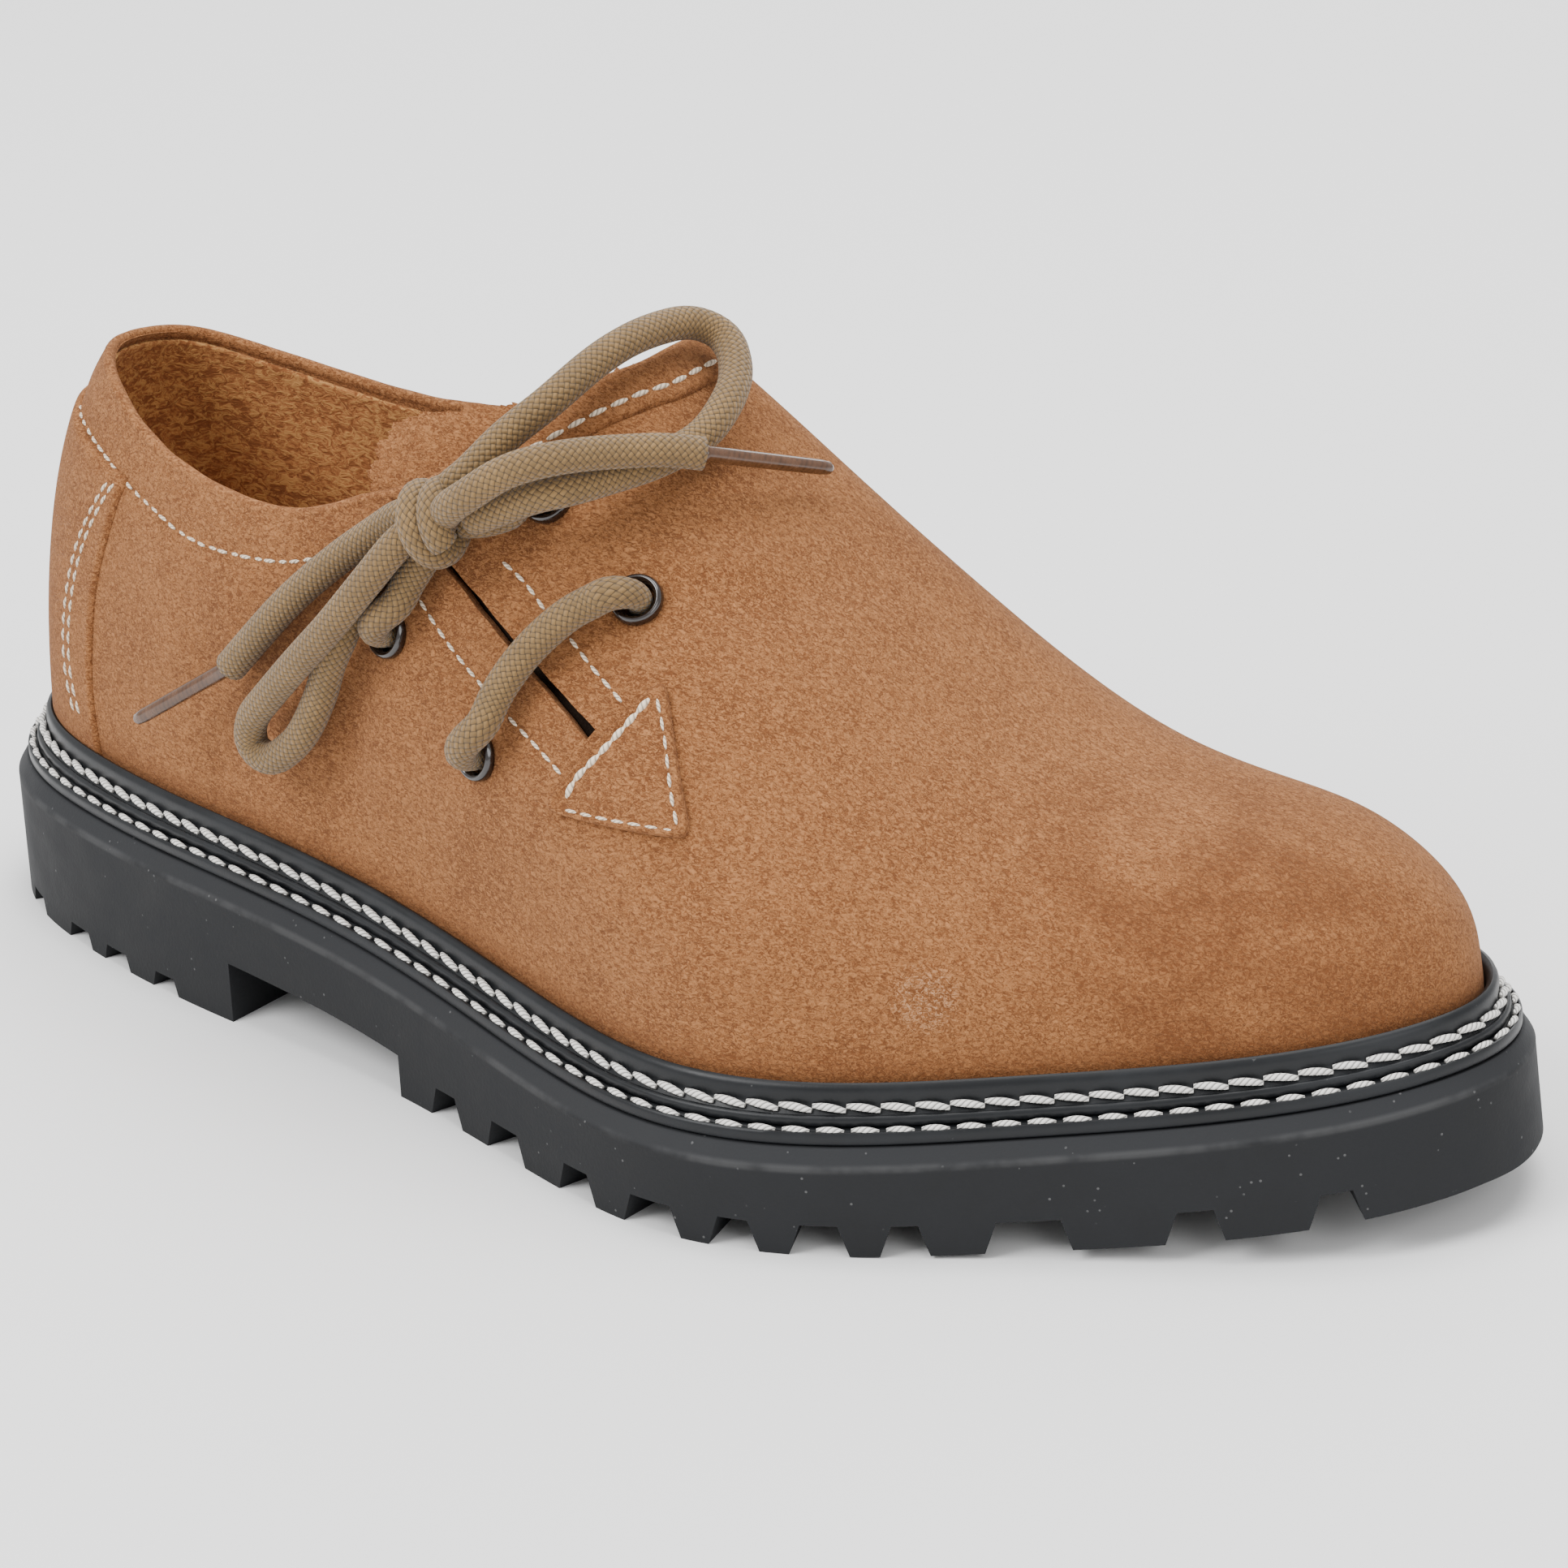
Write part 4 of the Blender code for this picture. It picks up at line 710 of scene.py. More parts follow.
def cutter_piece(name, prisms):
    """One cutter from prisms that keep clear of each other."""
    points, faces = [], []
    for more, rows in prisms:
        start = sum(len(p) for p in points)
        faces += [[start + i for i in row] for row in rows]
        points.append(more)
    made = new_piece(name, np.vstack(points), faces, plain("cutter", (0.5, 0.5, 0.5)))
    face_out(made)
    return made


def stitch_row(name, path, normals, finish, long, gap, radius, arch, sides=6, turn=0.0, dip=0.35):
    """Separate stitches along a path: each a short tube that rises in a low arch.

    A stitch's point is centre + forward x (t - 1/2) x long + normal x arch x sin(pi t),
    and its radius falls toward both ends, where the thread goes into its hole.
    """
    steps = np.linspace(0, 1, 7)
    length = np.concatenate([[0], np.cumsum(np.linalg.norm(np.diff(path, axis=0), axis=1))])
    count = max(1, int(length[-1] // (long + gap)))
    start = (length[-1] - count * (long + gap) + gap) / 2
    middle = start + (np.arange(count) + 0.5) * (long + gap) - gap / 2
    centre = read_at(middle, length, path)
    forward = read_at(middle + 0.2 * long, length, path) - read_at(middle - 0.2 * long, length, path)
    forward /= np.linalg.norm(forward, axis=1)[:, None]
    normal = read_at(middle, length, normals)
    normal -= forward * (normal * forward).sum(axis=1)[:, None]
    normal /= np.linalg.norm(normal, axis=1)[:, None]
    side = np.cross(normal, forward)
    forward, side = (
        forward * math.cos(turn) + side * math.sin(turn),
        side * math.cos(turn) - forward * math.sin(turn),
    )
    rise = arch * np.sin(math.pi * steps) - dip * radius
    line = (
        centre[:, None]
        + forward[:, None] * ((steps - 0.5) * long)[None, :, None]
        + normal[:, None] * rise[None, :, None]
    )
    angles = np.arange(sides) * 2 * math.pi / sides
    thick = radius * (0.35 + 0.65 * np.sin(math.pi * np.clip(steps, 0.04, 0.96)) ** 0.5)
    cos, sin = np.cos(angles)[:, None], np.sin(angles)[:, None]
    round_off = side[:, None, None] * cos + normal[:, None, None] * sin
    points = line[:, :, None] + thick[None, :, None, None] * round_off
    rows = len(steps)
    one = grid_faces(rows, sides, wrap=True)
    caps = np.array([np.arange(sides)[::-1], np.arange((rows - 1) * sides, rows * sides)])
    shift = np.arange(count) * rows * sides
    quads = (one[None] + shift[:, None, None]).reshape(-1, 4)
    ends = (caps[None] + shift[:, None, None]).reshape(-1, sides)
    one_uv = grid_uv(rows, sides, steps * long / UV_PITCH, np.arange(sides) / sides, wrap=True)
    uv = np.vstack([np.tile(one_uv, (count, 1)), np.zeros((ends.size, 2))])
    return new_piece(name, points, quads.tolist() + ends.tolist(), finish, uv)


# Materials

class Tree:
    """Adds nodes to a node tree from left to right, each linked as it is made."""

    def __init__(self, tree):
        self.tree = tree
        self.count = 0

    def add(self, kind, sockets=(), **settings):
        made = self.tree.nodes.new(kind)
        made.location = (220 * (self.count % 8) - 1600, 300 - 260 * (self.count // 8))
        self.count += 1
        for name, value in settings.items():
            setattr(made, name, value)
        for name, value in dict(sockets).items():
            if isinstance(value, bpy.types.NodeSocket):
                self.tree.links.new(value, made.inputs[name])
            else:
                made.inputs[name].default_value = value
        return made

    def math(self, operation, first, second=0.0, third=0.0):
        sockets = {0: first, 1: second, 2: third}
        return self.add("ShaderNodeMath", sockets, operation=operation).outputs[0]

    def ramp(self, value, low, high, start=0.0, end=1.0, kind="SMOOTHSTEP"):
        sockets = {"Value": value, "From Min": low, "From Max": high, "To Min": start, "To Max": end}
        return self.add("ShaderNodeMapRange", sockets, interpolation_type=kind, clamp=True).outputs[0]

    def noise(self, vector, scale, detail=3.0, roughness=0.6, distortion=0.0):
        sockets = {
            "Vector": vector, "Scale": scale, "Detail": detail,
            "Roughness": roughness, "Distortion": distortion,
        }
        return self.add("ShaderNodeTexNoise", sockets).outputs[0]

    def mix(self, factor, first, second):
        made = self.add("ShaderNodeMix", data_type="RGBA")
        for index, value in ((0, factor), (6, first), (7, second)):
            if isinstance(value, bpy.types.NodeSocket):
                self.tree.links.new(value, made.inputs[index])
            elif index == 0:
                made.inputs[0].default_value = value
            else:
                made.inputs[index].default_value = (*value, 1)
        return made.outputs[2]

    def bump(self, height, distance, strength=1.0):
        sockets = {"Height": height, "Distance": distance, "Strength": strength}
        return self.add("ShaderNodeBump", sockets).outputs[0]

    def link(self, source, target):
        self.tree.links.new(source, target)

    def group(self, group, vector, **values):
        """A group node's outputs, its Vector fed and its other inputs set."""
        made = self.add("ShaderNodeGroup", node_tree=group)
        self.link(vector, made.inputs["Vector"])
        for name, value in values.items():
            made.inputs[name].default_value = value
        return made.outputs

    def distance(self, point, centre):
        sockets = {0: point, 1: centre}
        return self.add("ShaderNodeVectorMath", sockets, operation="DISTANCE").outputs[1]

    def object_point(self):
        return self.add("ShaderNodeTexCoord").outputs["Object"]


def new_group(name, numbers, outputs):
    """An empty node group with a Vector, named number inputs and number outputs."""
    group = bpy.data.node_groups.get(name)
    if group:
        return group, None, None, None
    group = bpy.data.node_groups.new(name, "ShaderNodeTree")
    group.interface.new_socket(name="Vector", in_out="INPUT", socket_type="NodeSocketVector")
    for label, value in numbers.items():
        socket = group.interface.new_socket(name=label, in_out="INPUT", socket_type="NodeSocketFloat")
        socket.default_value = value
    for label in outputs:
        group.interface.new_socket(name=label, in_out="OUTPUT", socket_type="NodeSocketFloat")
    tree = Tree(group)
    start = tree.add("NodeGroupInput")
    end = group.nodes.new("NodeGroupOutput")
    end.location = (400, 0)
    return group, tree, start.outputs, end.inputs


def nap_group():
    """Suede's nap: soft patches, short brushed streaks and single fibres."""
    group, tree, given, out = new_group(
        "Nap",
        {"Patch": 55.0, "Fibre": 900.0},
        ("Tone", "Streak", "Height"),
    )
    if tree is None:
        return group
    patch = tree.noise(given["Vector"], given["Patch"], 3.0, 0.62, 0.6)
    middle = tree.noise(given["Vector"], tree.math("MULTIPLY", given["Fibre"], 0.2), 3.0, 0.65, 0.4)
    sockets = {0: given["Vector"], 1: (0.55, 1.0, 1.0)}
    brushed = tree.add("ShaderNodeVectorMath", sockets, operation="MULTIPLY").outputs[0]
    fibre = tree.noise(brushed, given["Fibre"], 3.0, 0.8, 1.2)
    tone = tree.math("MULTIPLY_ADD", patch, 0.78, tree.math("MULTIPLY", middle, 0.22))
    height = tree.math("MULTIPLY_ADD", middle, 0.45, tree.math("MULTIPLY", fibre, 0.55))
    tree.link(tone, out["Tone"])
    tree.link(fibre, out["Streak"])
    tree.link(height, out["Height"])
    return group


def height_group():
    """Height over the bevel's lower edge, which falls from heel to ball and climbs to the toe."""
    group, tree, given, out = new_group("Height over bevel", {}, ("Height",))
    if tree is None:
        return group
    parts = tree.add("ShaderNodeSeparateXYZ", {0: given["Vector"]}).outputs
    along = tree.ramp(parts[0], BACK_X, TIP_X, kind="LINEAR")
    low = tree.ramp(along, 0.225, 0.618, HEEL_LEVEL, BALL_LEVEL)
    toe = tree.math("POWER", tree.ramp(along, 0.667, 1.0, kind="LINEAR"), 2.0)
    edge = tree.math("MULTIPLY_ADD", toe, TOE_RISE, low)
    tree.link(tree.math("SUBTRACT", parts[2], edge), out["Height"])
    return group


def braid_group():
    """Yarns that cross over and under round a cord: u runs along it, v once round it."""
    group, tree, given, out = new_group(
        "Braid",
        {"Yarns": 10.0, "Lay": 0.6},
        ("Height", "Side"),
    )
    if tree is None:
        return group
    parts = tree.add("ShaderNodeSeparateXYZ", {0: given["Vector"]}).outputs
    along = tree.math("MULTIPLY", parts[0], given["Lay"])
    around = tree.math("MULTIPLY", parts[1], given["Yarns"])
    first = tree.math("ADD", along, around)
    second = tree.math("SUBTRACT", along, around)
    arcs = []
    for value in (first, second):
        arcs.append(tree.math("SINE", tree.math("MULTIPLY", tree.math("FRACT", value), math.pi)))
    cells = tree.math("ADD", tree.math("FLOOR", first), tree.math("FLOOR", second))
    side = tree.math("PINGPONG", cells, 1.0)
    over = tree.math("MULTIPLY", arcs[0], tree.math("MULTIPLY_ADD", arcs[1], 0.5, 0.5))
    under = tree.math("MULTIPLY", arcs[1], tree.math("MULTIPLY_ADD", arcs[0], 0.5, 0.5))
    gap = tree.math("SUBTRACT", over, under)
    tree.link(tree.math("MULTIPLY_ADD", gap, side, under), out["Height"])
    tree.link(side, out["Side"])
    return group


def twist_group():
    """The slanting plies of a twisted thread."""
    group, tree, given, out = new_group("Twist", {"Plies": 2.0}, ("Height",))
    if tree is None:
        return group
    parts = tree.add("ShaderNodeSeparateXYZ", {0: given["Vector"]}).outputs
    turn = tree.math("ADD", parts[0], tree.math("MULTIPLY", parts[1], given["Plies"]))
    arc = tree.math("SINE", tree.math("MULTIPLY", tree.math("FRACT", turn), math.pi))
    tree.link(arc, out["Height"])
    return group


def rubber_group():
    """Moulded rubber: faint clouds, fine pores and scattered pale specks."""
    group, tree, given, out = new_group("Moulded rubber", {}, ("Tone", "Speck", "Height"))
    if tree is None:
        return group
    clouds = tree.noise(given["Vector"], 60.0, 4.0, 0.6)
    pores = tree.noise(given["Vector"], 1500.0, 2.0, 0.6)
    spots = tree.add("ShaderNodeTexVoronoi", {"Vector": given["Vector"], "Scale": 620.0}).outputs["Distance"]
    lots = tree.noise(given["Vector"], 210.0, 1.0, 0.5)
    speck = tree.math("MULTIPLY", tree.ramp(spots, 0.16, 0.10), tree.ramp(lots, 0.58, 0.66))
    tree.link(clouds, out["Tone"])
    tree.link(speck, out["Speck"])
    tree.link(pores, out["Height"])
    return group


def finish_of(name):
    """A new material with its tree and its shader."""
    made = bpy.data.materials.new(name)
    made.use_nodes = True
    tree = Tree(made.node_tree)
    return made, tree, made.node_tree.nodes["Principled BSDF"]


def plain(name, colour, roughness=0.5):
    made = bpy.data.materials.get(name)
    if made is None:
        made, _, shader = finish_of(name)
        shader.inputs["Base Color"].default_value = (*colour, 1)
        shader.inputs["Roughness"].default_value = roughness
    return made


def connect(tree, shader, **sockets):
    names = {"colour": "Base Color", "roughness": "Roughness", "normal": "Normal"}
    for key, socket in sockets.items():
        tree.link(socket, shader.inputs[names[key]])


def linear(colour):
    """An RGB property as plain numbers."""
    return tuple(float(c) for c in colour[:3])


def tones(name):
    """The light, middle and dark tone of a leather."""
    colours = bpy.context.scene.haferl_colours
    return [linear(getattr(colours, name + end)) for end in ("_light", "", "_dark")]


STAIN_SPOT = (0.116, -0.006, 0.056)
SCUFF_SPOT = (0.078, -0.0365, 0.040)
SUEDE_FIBRE = 1900.0
LINING_FIBRE = 700.0


def suede_material(name, light, middle, dark, fibre, shade_and_stains=1.0):
    """Suede: three tones by nap, painted shade down by the welt, a darker stain over the toe, with a matt
    bump.
    """
    made = bpy.data.materials.get(name)
    if made:
        return made
    made, tree, shader = finish_of(name)
    point = tree.object_point()
    nap = tree.group(nap_group(), point, Patch=48.0, Fibre=fibre)
    over = tree.group(height_group(), point)
    tone = tree.mix(tree.ramp(nap["Tone"], 0.28, 0.62, 0.25, 1.0), dark, middle)
    tone = tree.mix(tree.ramp(nap["Streak"], 0.46, 0.60, 0.0, 0.95), tone, light)
    tone = tree.mix(tree.ramp(nap["Streak"], 0.50, 0.38, 0.0, 0.90), tone, dark)
    # Painted shade: the suede goes darker toward the welt's lip, where the welt shades it; the toe stain and
    # the scuff below are the suede's own marks.
    low = tree.ramp(over["Height"], LIP_TOP + 0.006, LIP_TOP, 0.0, 0.45 * shade_and_stains)
    tone = tree.mix(low, tone, dark)
    toe = tree.distance(point, STAIN_SPOT)
    stain = tree.math("MULTIPLY", tree.ramp(toe, 0.050, 0.010), tree.ramp(nap["Tone"], 0.66, 0.38))
    tone = tree.mix(tree.math("MULTIPLY", stain, 0.55 * shade_and_stains), tone, dark)
    scuff = tree.distance(point, SCUFF_SPOT)
    rubbed = tree.math("MULTIPLY", tree.ramp(scuff, 0.007, 0.002), tree.ramp(nap["Streak"], 0.50, 0.62))
    tone = tree.mix(tree.math("MULTIPLY", rubbed, 0.35 * shade_and_stains), tone, (0.60, 0.40, 0.26))
    connect(tree, shader, colour=tone, normal=tree.bump(nap["Height"], 0.0008, 1.0))
    shader.inputs["Roughness"].default_value = 0.95
    shader.inputs["Specular IOR Level"].default_value = 0.15
    shader.inputs["Sheen Weight"].default_value = 0.06
    shader.inputs["Sheen Roughness"].default_value = 0.5
    shader.inputs["Sheen Tint"].default_value = (0.95, 0.72, 0.5, 1)
    return made


def suede():
    return suede_material("hide_suede", *tones("suede"), SUEDE_FIBRE)


def tongue_suede():
    """The tongue's suede, painted nearly black as shadow where it lies under the upper by the slit."""
    made = bpy.data.materials.get("tongue_suede")
    if made:
        return made
    made = suede_material("tongue_suede", *tones("suede"), SUEDE_FIBRE, 0.0)
    tree = Tree(made.node_tree)
    tree.count = 40
    shader = made.node_tree.nodes["Principled BSDF"]
    # Painted shadow: a point mask, made with the tongue, darkens it where the slit's gap lies in shade.
    covered = tree.add("ShaderNodeAttribute", attribute_name="covered").outputs["Fac"]
    tone = shader.inputs["Base Color"].links[0].from_socket
    connect(tree, shader, colour=tree.mix(covered, tone, (0.010, 0.005, 0.003)))
    return made


def lining():
    """The flesh side inside: the same hide, duller, with ochre patches."""
    return suede_material("hide_lining", *tones("lining"), LINING_FIBRE, 0.0)


def thread_material(name, colour, shade, plies):
    made = bpy.data.materials.get(name)
    if made:
        return made
    made, tree, shader = finish_of(name)
    uv = tree.add("ShaderNodeUVMap").outputs[0]
    twist = tree.group(twist_group(), uv, Plies=plies)
    tone = tree.mix(tree.ramp(twist["Height"], 0.15, 0.7), shade, colour)
    connect(tree, shader, colour=tone, normal=tree.bump(twist["Height"], 0.00025, 0.8))
    shader.inputs["Roughness"].default_value = 0.7
    return made


def seam_thread():
    colours = bpy.context.scene.haferl_colours
    shade = tuple(0.5 * c for c in linear(colours.thread))
    return thread_material("cream_thread", linear(colours.thread), shade, 2.0)


def welt_thread():
    colours = bpy.context.scene.haferl_colours
    shade = tuple(0.35 * c for c in linear(colours.welt_thread))
    return thread_material("white_thread", linear(colours.welt_thread), shade, 3.0)


def rubber():
    """The sole's matt rubber, paler on the bevel and rubbed along its lower edge."""
    made = bpy.data.materials.get("moulded_rubber")
    if made:
        return made
    colours = bpy.context.scene.haferl_colours
    base = linear(colours.rubber)
    made, tree, shader = finish_of("moulded_rubber")
    point = tree.object_point()
    grain = tree.group(rubber_group(), point)
    over = tree.group(height_group(), point)
    dark = tuple(0.72 * c for c in base)
    pale = tuple(1.9 * c + 0.004 for c in base)
    tone = tree.mix(tree.ramp(grain["Tone"], 0.35, 0.65), dark, base)
    bevel = tree.ramp(over["Height"], -0.0004, 0.0004, 0.0, 0.35)
    tone = tree.mix(bevel, tone, pale)
    away = tree.math("ABSOLUTE", over["Height"])
    rubbed = tree.ramp(grain["Tone"], 0.40, 0.60)
    line = tree.math("MULTIPLY", tree.ramp(away, 0.0009, 0.0002), rubbed)
    tone = tree.mix(tree.math("MULTIPLY", line, 0.22), tone, (0.12, 0.12, 0.12))
    tone = tree.mix(tree.math("MULTIPLY", grain["Speck"], 0.35), tone, (0.20, 0.20, 0.20))
    connect(tree, shader, colour=tone, normal=tree.bump(grain["Height"], 0.0001, 0.5))
    connect(tree, shader, roughness=tree.ramp(grain["Tone"], 0.3, 0.7, 0.62, 0.78))
    shader.inputs["Specular IOR Level"].default_value = 0.22
    return made


def welt_black():
    """The welt's satin black, greyer where the light rubs along the lip."""
    made = bpy.data.materials.get("satin_welt")
    if made:
        return made
    colours = bpy.context.scene.haferl_colours
    base = linear(colours.welt)
    made, tree, shader = finish_of("satin_welt")
    point = tree.object_point()
    grain = tree.group(rubber_group(), point)
    pale = tuple(1.7 * c for c in base)
    tone = tree.mix(tree.ramp(grain["Tone"], 0.35, 0.7), base, pale)
    dust = tree.noise(point, 800.0, 3.0, 0.7)
    tone = tree.mix(tree.ramp(dust, 0.70, 0.80, 0.0, 0.35), tone, (0.25, 0.25, 0.25))
    connect(tree, shader, colour=tone, normal=tree.bump(grain["Height"], 0.00006, 0.4))
    connect(tree, shader, roughness=tree.ramp(grain["Tone"], 0.3, 0.7, 0.34, 0.48))
    shader.inputs["Specular IOR Level"].default_value = 0.28
    return made


def lace_material():
    """Braided cotton: two yarns' tones, with painted shade in the gaps between the yarns."""
    made = bpy.data.materials.get("braided_lace")
    if made:
        return made
    colours = bpy.context.scene.haferl_colours
    made, tree, shader = finish_of("braided_lace")
    uv = tree.add("ShaderNodeUVMap").outputs[0]
    braid = tree.group(braid_group(), uv, Yarns=13.0, Lay=0.82)
    base = linear(colours.lace)
    light = tuple(1.25 * c for c in base)
    dark = tuple(0.30 * c for c in base)
    worn = tree.noise(tree.object_point(), 160.0, 3.0, 0.6)
    tone = tree.mix(tree.ramp(braid["Side"], 0.0, 1.0), base, light)
    tone = tree.mix(tree.ramp(worn, 0.35, 0.7, 0.25, 0.0), tone, dark)
    # Painted shade: dark where the braid's height is low, between the yarns.
    tone = tree.mix(tree.ramp(braid["Height"], 0.45, 0.12), tone, dark)
    connect(tree, shader, colour=tone, normal=tree.bump(braid["Height"], 0.0003, 0.8))
    shader.inputs["Roughness"].default_value = 0.85
    shader.inputs["Sheen Weight"].default_value = 0.15
    return made


def enamel():
    """Dark brown enamel, thinly worn at the top of each rim."""
    made = bpy.data.materials.get("eyelet_enamel")
    if made:
        return made
    colours = bpy.context.scene.haferl_colours
    made, tree, shader = finish_of("eyelet_enamel")
    worn = tree.noise(tree.object_point(), 420.0, 4.0, 0.7)
    base = linear(colours.enamel)
    tone = tree.mix(tree.ramp(worn, 0.62, 0.75), base, tuple(2.2 * c for c in base))
    connect(tree, shader, colour=tone, roughness=tree.ramp(worn, 0.4, 0.75, 0.14, 0.35))
    shader.inputs["Coat Weight"].default_value = 0.7
    shader.inputs["Coat Roughness"].default_value = 0.08
    return made


def aglet_material():
    """A clear brown sleeve over the lace's end: the braid shows faintly through it."""
    made = bpy.data.materials.get("lace_tip")
    if made:
        return made
    colours = bpy.context.scene.haferl_colours
    base = linear(colours.aglet)
    made, tree, shader = finish_of("lace_tip")
    uv = tree.add("ShaderNodeUVMap").outputs[0]
    twist = tree.group(twist_group(), uv, Plies=3.0)
    cloud = tree.noise(tree.object_point(), 500.0, 3.0, 0.6)
    tone = tree.mix(tree.ramp(cloud, 0.35, 0.65), tuple(0.6 * c for c in base), base)
    tone = tree.mix(tree.ramp(twist["Height"], 0.3, 0.9, 0.0, 0.25), tone, tuple(1.5 * c for c in base))
    connect(tree, shader, colour=tone, roughness=tree.ramp(cloud, 0.3, 0.7, 0.12, 0.3))
    shader.inputs["Coat Weight"].default_value = 0.25
    shader.inputs["Coat Roughness"].default_value = 0.15
    return made


# Settings

def colour(name, description, value):
    """A linear colour setting."""
    return bpy.props.FloatVectorProperty(
        name=name, description=description, subtype="COLOR", size=3, default=value
    )


def size(name, description, value):
    """A length setting in metres."""
    return bpy.props.FloatProperty(name=name, description=description, default=value, unit="LENGTH")


class HaferlColours(bpy.types.PropertyGroup):
    """Colours of the shoe's finishes, as linear values."""

    suede: colour("Suede", "Middle tone of the suede", (0.262, 0.106, 0.038))
    suede_light: colour("Suede light", "Brushed tips of the nap", (0.365, 0.160, 0.062))
    # suede_dark is also the colour of the painted shade down by the welt
    suede_dark: colour("Suede dark", "Depths of the nap", (0.140, 0.048, 0.016))
    lining: colour("Lining", "Middle tone inside", (0.40, 0.165, 0.060))
    lining_light: colour("Lining light", "Ochre patches inside", (0.52, 0.270, 0.095))
    lining_dark: colour("Lining dark", "Depths inside", (0.22, 0.080, 0.028))
    thread: colour("Thread", "Upper's sewing thread", (0.80, 0.66, 0.50))
    welt_thread: colour("Welt thread", "Thick thread of the welt", (0.78, 0.76, 0.72))
    rubber: colour("Rubber", "The sole's wall", (0.0135, 0.0142, 0.0158))
    welt: colour("Welt", "Welt and runner", (0.0060, 0.0068, 0.0080))
    lace: colour("Lace", "The lace's yarn", (0.185, 0.108, 0.037))
    enamel: colour("Enamel", "Eyelets", (0.010, 0.0048, 0.0036))
    aglet: colour("Aglet", "Lace tips", (0.085, 0.036, 0.015))
    floor: colour("Floor", "The pale floor", (0.86, 0.86, 0.86))


class HaferlSizes(bpy.types.PropertyGroup):
    """Counts and sizes of the shoe's looks."""

    stations: bpy.props.IntProperty(
        name="Stations", description="Columns of the upper's mesh on one side", default=230, min=60
    )
    risers: bpy.props.IntProperty(name="Risers", description="Rows of the upper's mesh", default=84, min=20)
    stitch_long: size("Stitch", "Length of an upper's stitch", 0.0024)
    stitch_gap: size("Stitch gap", "Gap between two stitches", 0.0008)
    stitch_radius: size("Thread radius", "Radius of the upper's thread", 0.00034)
    chain_long: size("Chain stitch", "Length of the welt's inner stitches", 0.0054)
    lock_long: size("Lock stitch", "Length of the welt's outer stitches", 0.0044)
    collar_round: size("Collar", "Half height of the collar's rolled edge", 0.0013)


def register_piece(piece, *nodes, slot):
    """A finished piece rides on the shoe's one body and stands for its CAD nodes."""
    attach(piece, "root")
    if nodes:
        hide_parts(*nodes)
    return piece


# Camera and stage

class HAFERL_OT_stage(bpy.types.Operator):
    """Floor, soft lights and the camera at the photograph's angle"""

    bl_idname = "haferl.stage"
    bl_label = "Stage"

    def execute(self, context):
        colours = context.scene.haferl_colours
        floor = new_piece(
            "floor",
            [(-3, -3, 0), (3, -3, 0), (3, 3, 0), (-3, 3, 0)],
            [[0, 1, 2, 3]],
            plain("pale_floor", linear(colours.floor), 0.9),
        )
        self.lights(context)
        self.camera(context)
        return {"FINISHED"}

    def lights(self, context):
        """One broad key from the camera's left, a fill from its right, and a top light."""
        rows = (
            ("key", (-0.55, -1.15, 1.25), 1.0, 27.0),
            ("fill", (1.35, -0.55, 0.75), 1.0, 9.0),
            ("top", (0.05, 0.25, 1.50), 1.3, 24.0),
            ("back", (-0.6, 1.2, 0.9), 1.0, 8.0),
        )
        for name, spot, size, power in rows:
            light = bpy.data.lights.new(name, "AREA")
            light.shape = "DISK"
            light.size = size
            light.energy = power
            lamp = bpy.data.objects.new(name, light)
            lamp.location = spot
            aim = np.array((0.0, 0.0, 0.04)) - np.array(spot)
            lamp.rotation_euler = aim_euler(aim)
            context.scene.collection.objects.link(lamp)
        world = bpy.data.worlds.new("studio")
        world.use_nodes = True
        world.node_tree.nodes["Background"].inputs[0].default_value = (1, 1, 1, 1)
        world.node_tree.nodes["Background"].inputs[1].default_value = 0.95
        context.scene.world = world

    def camera(self, context):
        """Turned 37 degrees to the toe, 22 degrees down, rolled a little, with a long lens."""
        turn, lift, roll = math.radians(36.97), math.radians(21.95), math.radians(-2.224)
        back = np.array(
            (math.sin(turn) * math.cos(lift), -math.cos(turn) * math.cos(lift), math.sin(lift))
        )
        right = np.array((math.cos(turn), math.sin(turn), 0.0))
        up = np.cross(back, right)
        across = right * math.cos(roll) + up * math.sin(roll)
        upward = up * math.cos(roll) - right * math.sin(roll)
        spot = np.array((0.01326, 0.01858, 0.0390)) + 0.9516 * back
        data = bpy.data.cameras.new("camera")
        data.lens = 129.83
        data.sensor_width = 36.0
        data.shift_x = -15.77 / 1932
        data.shift_y = 31.61 / 1932
        data.clip_start = 0.05
        camera = bpy.data.objects.new("camera", data)
        columns = np.column_stack([across, upward, back, spot])
        camera.matrix_world = Matrix([*columns.tolist(), [0, 0, 0, 1]])
        context.scene.collection.objects.link(camera)
        context.scene.camera = camera


def aim_euler(direction):
    return Vector(direction.tolist()).to_track_quat("-Z", "Y").to_euler()


# The lace

def on_route(rows):
    """Route rows (along, across, off in lace radii) as places."""
    rows = np.array(rows, float).reshape(-1, 3)
    tau, v = at_across(rows[:, :2])
    return skin(tau, v, rows[:, 2] * LACE_RADIUS)


def eyelet_frame(name):
    """Centre on the skin, the two directions across the eyelet, and its normal."""
    tau, v = at_height(np.array([EYELETS[name][0]]), np.array([EYELETS[name][1]]))
    centre, normal = last(tau, v)[0], last_normal(tau, v)[0]
    first = np.cross(normal, (0.0, 0.0, 1.0))
    first /= np.linalg.norm(first)
    return centre, first, np.cross(normal, first), normal


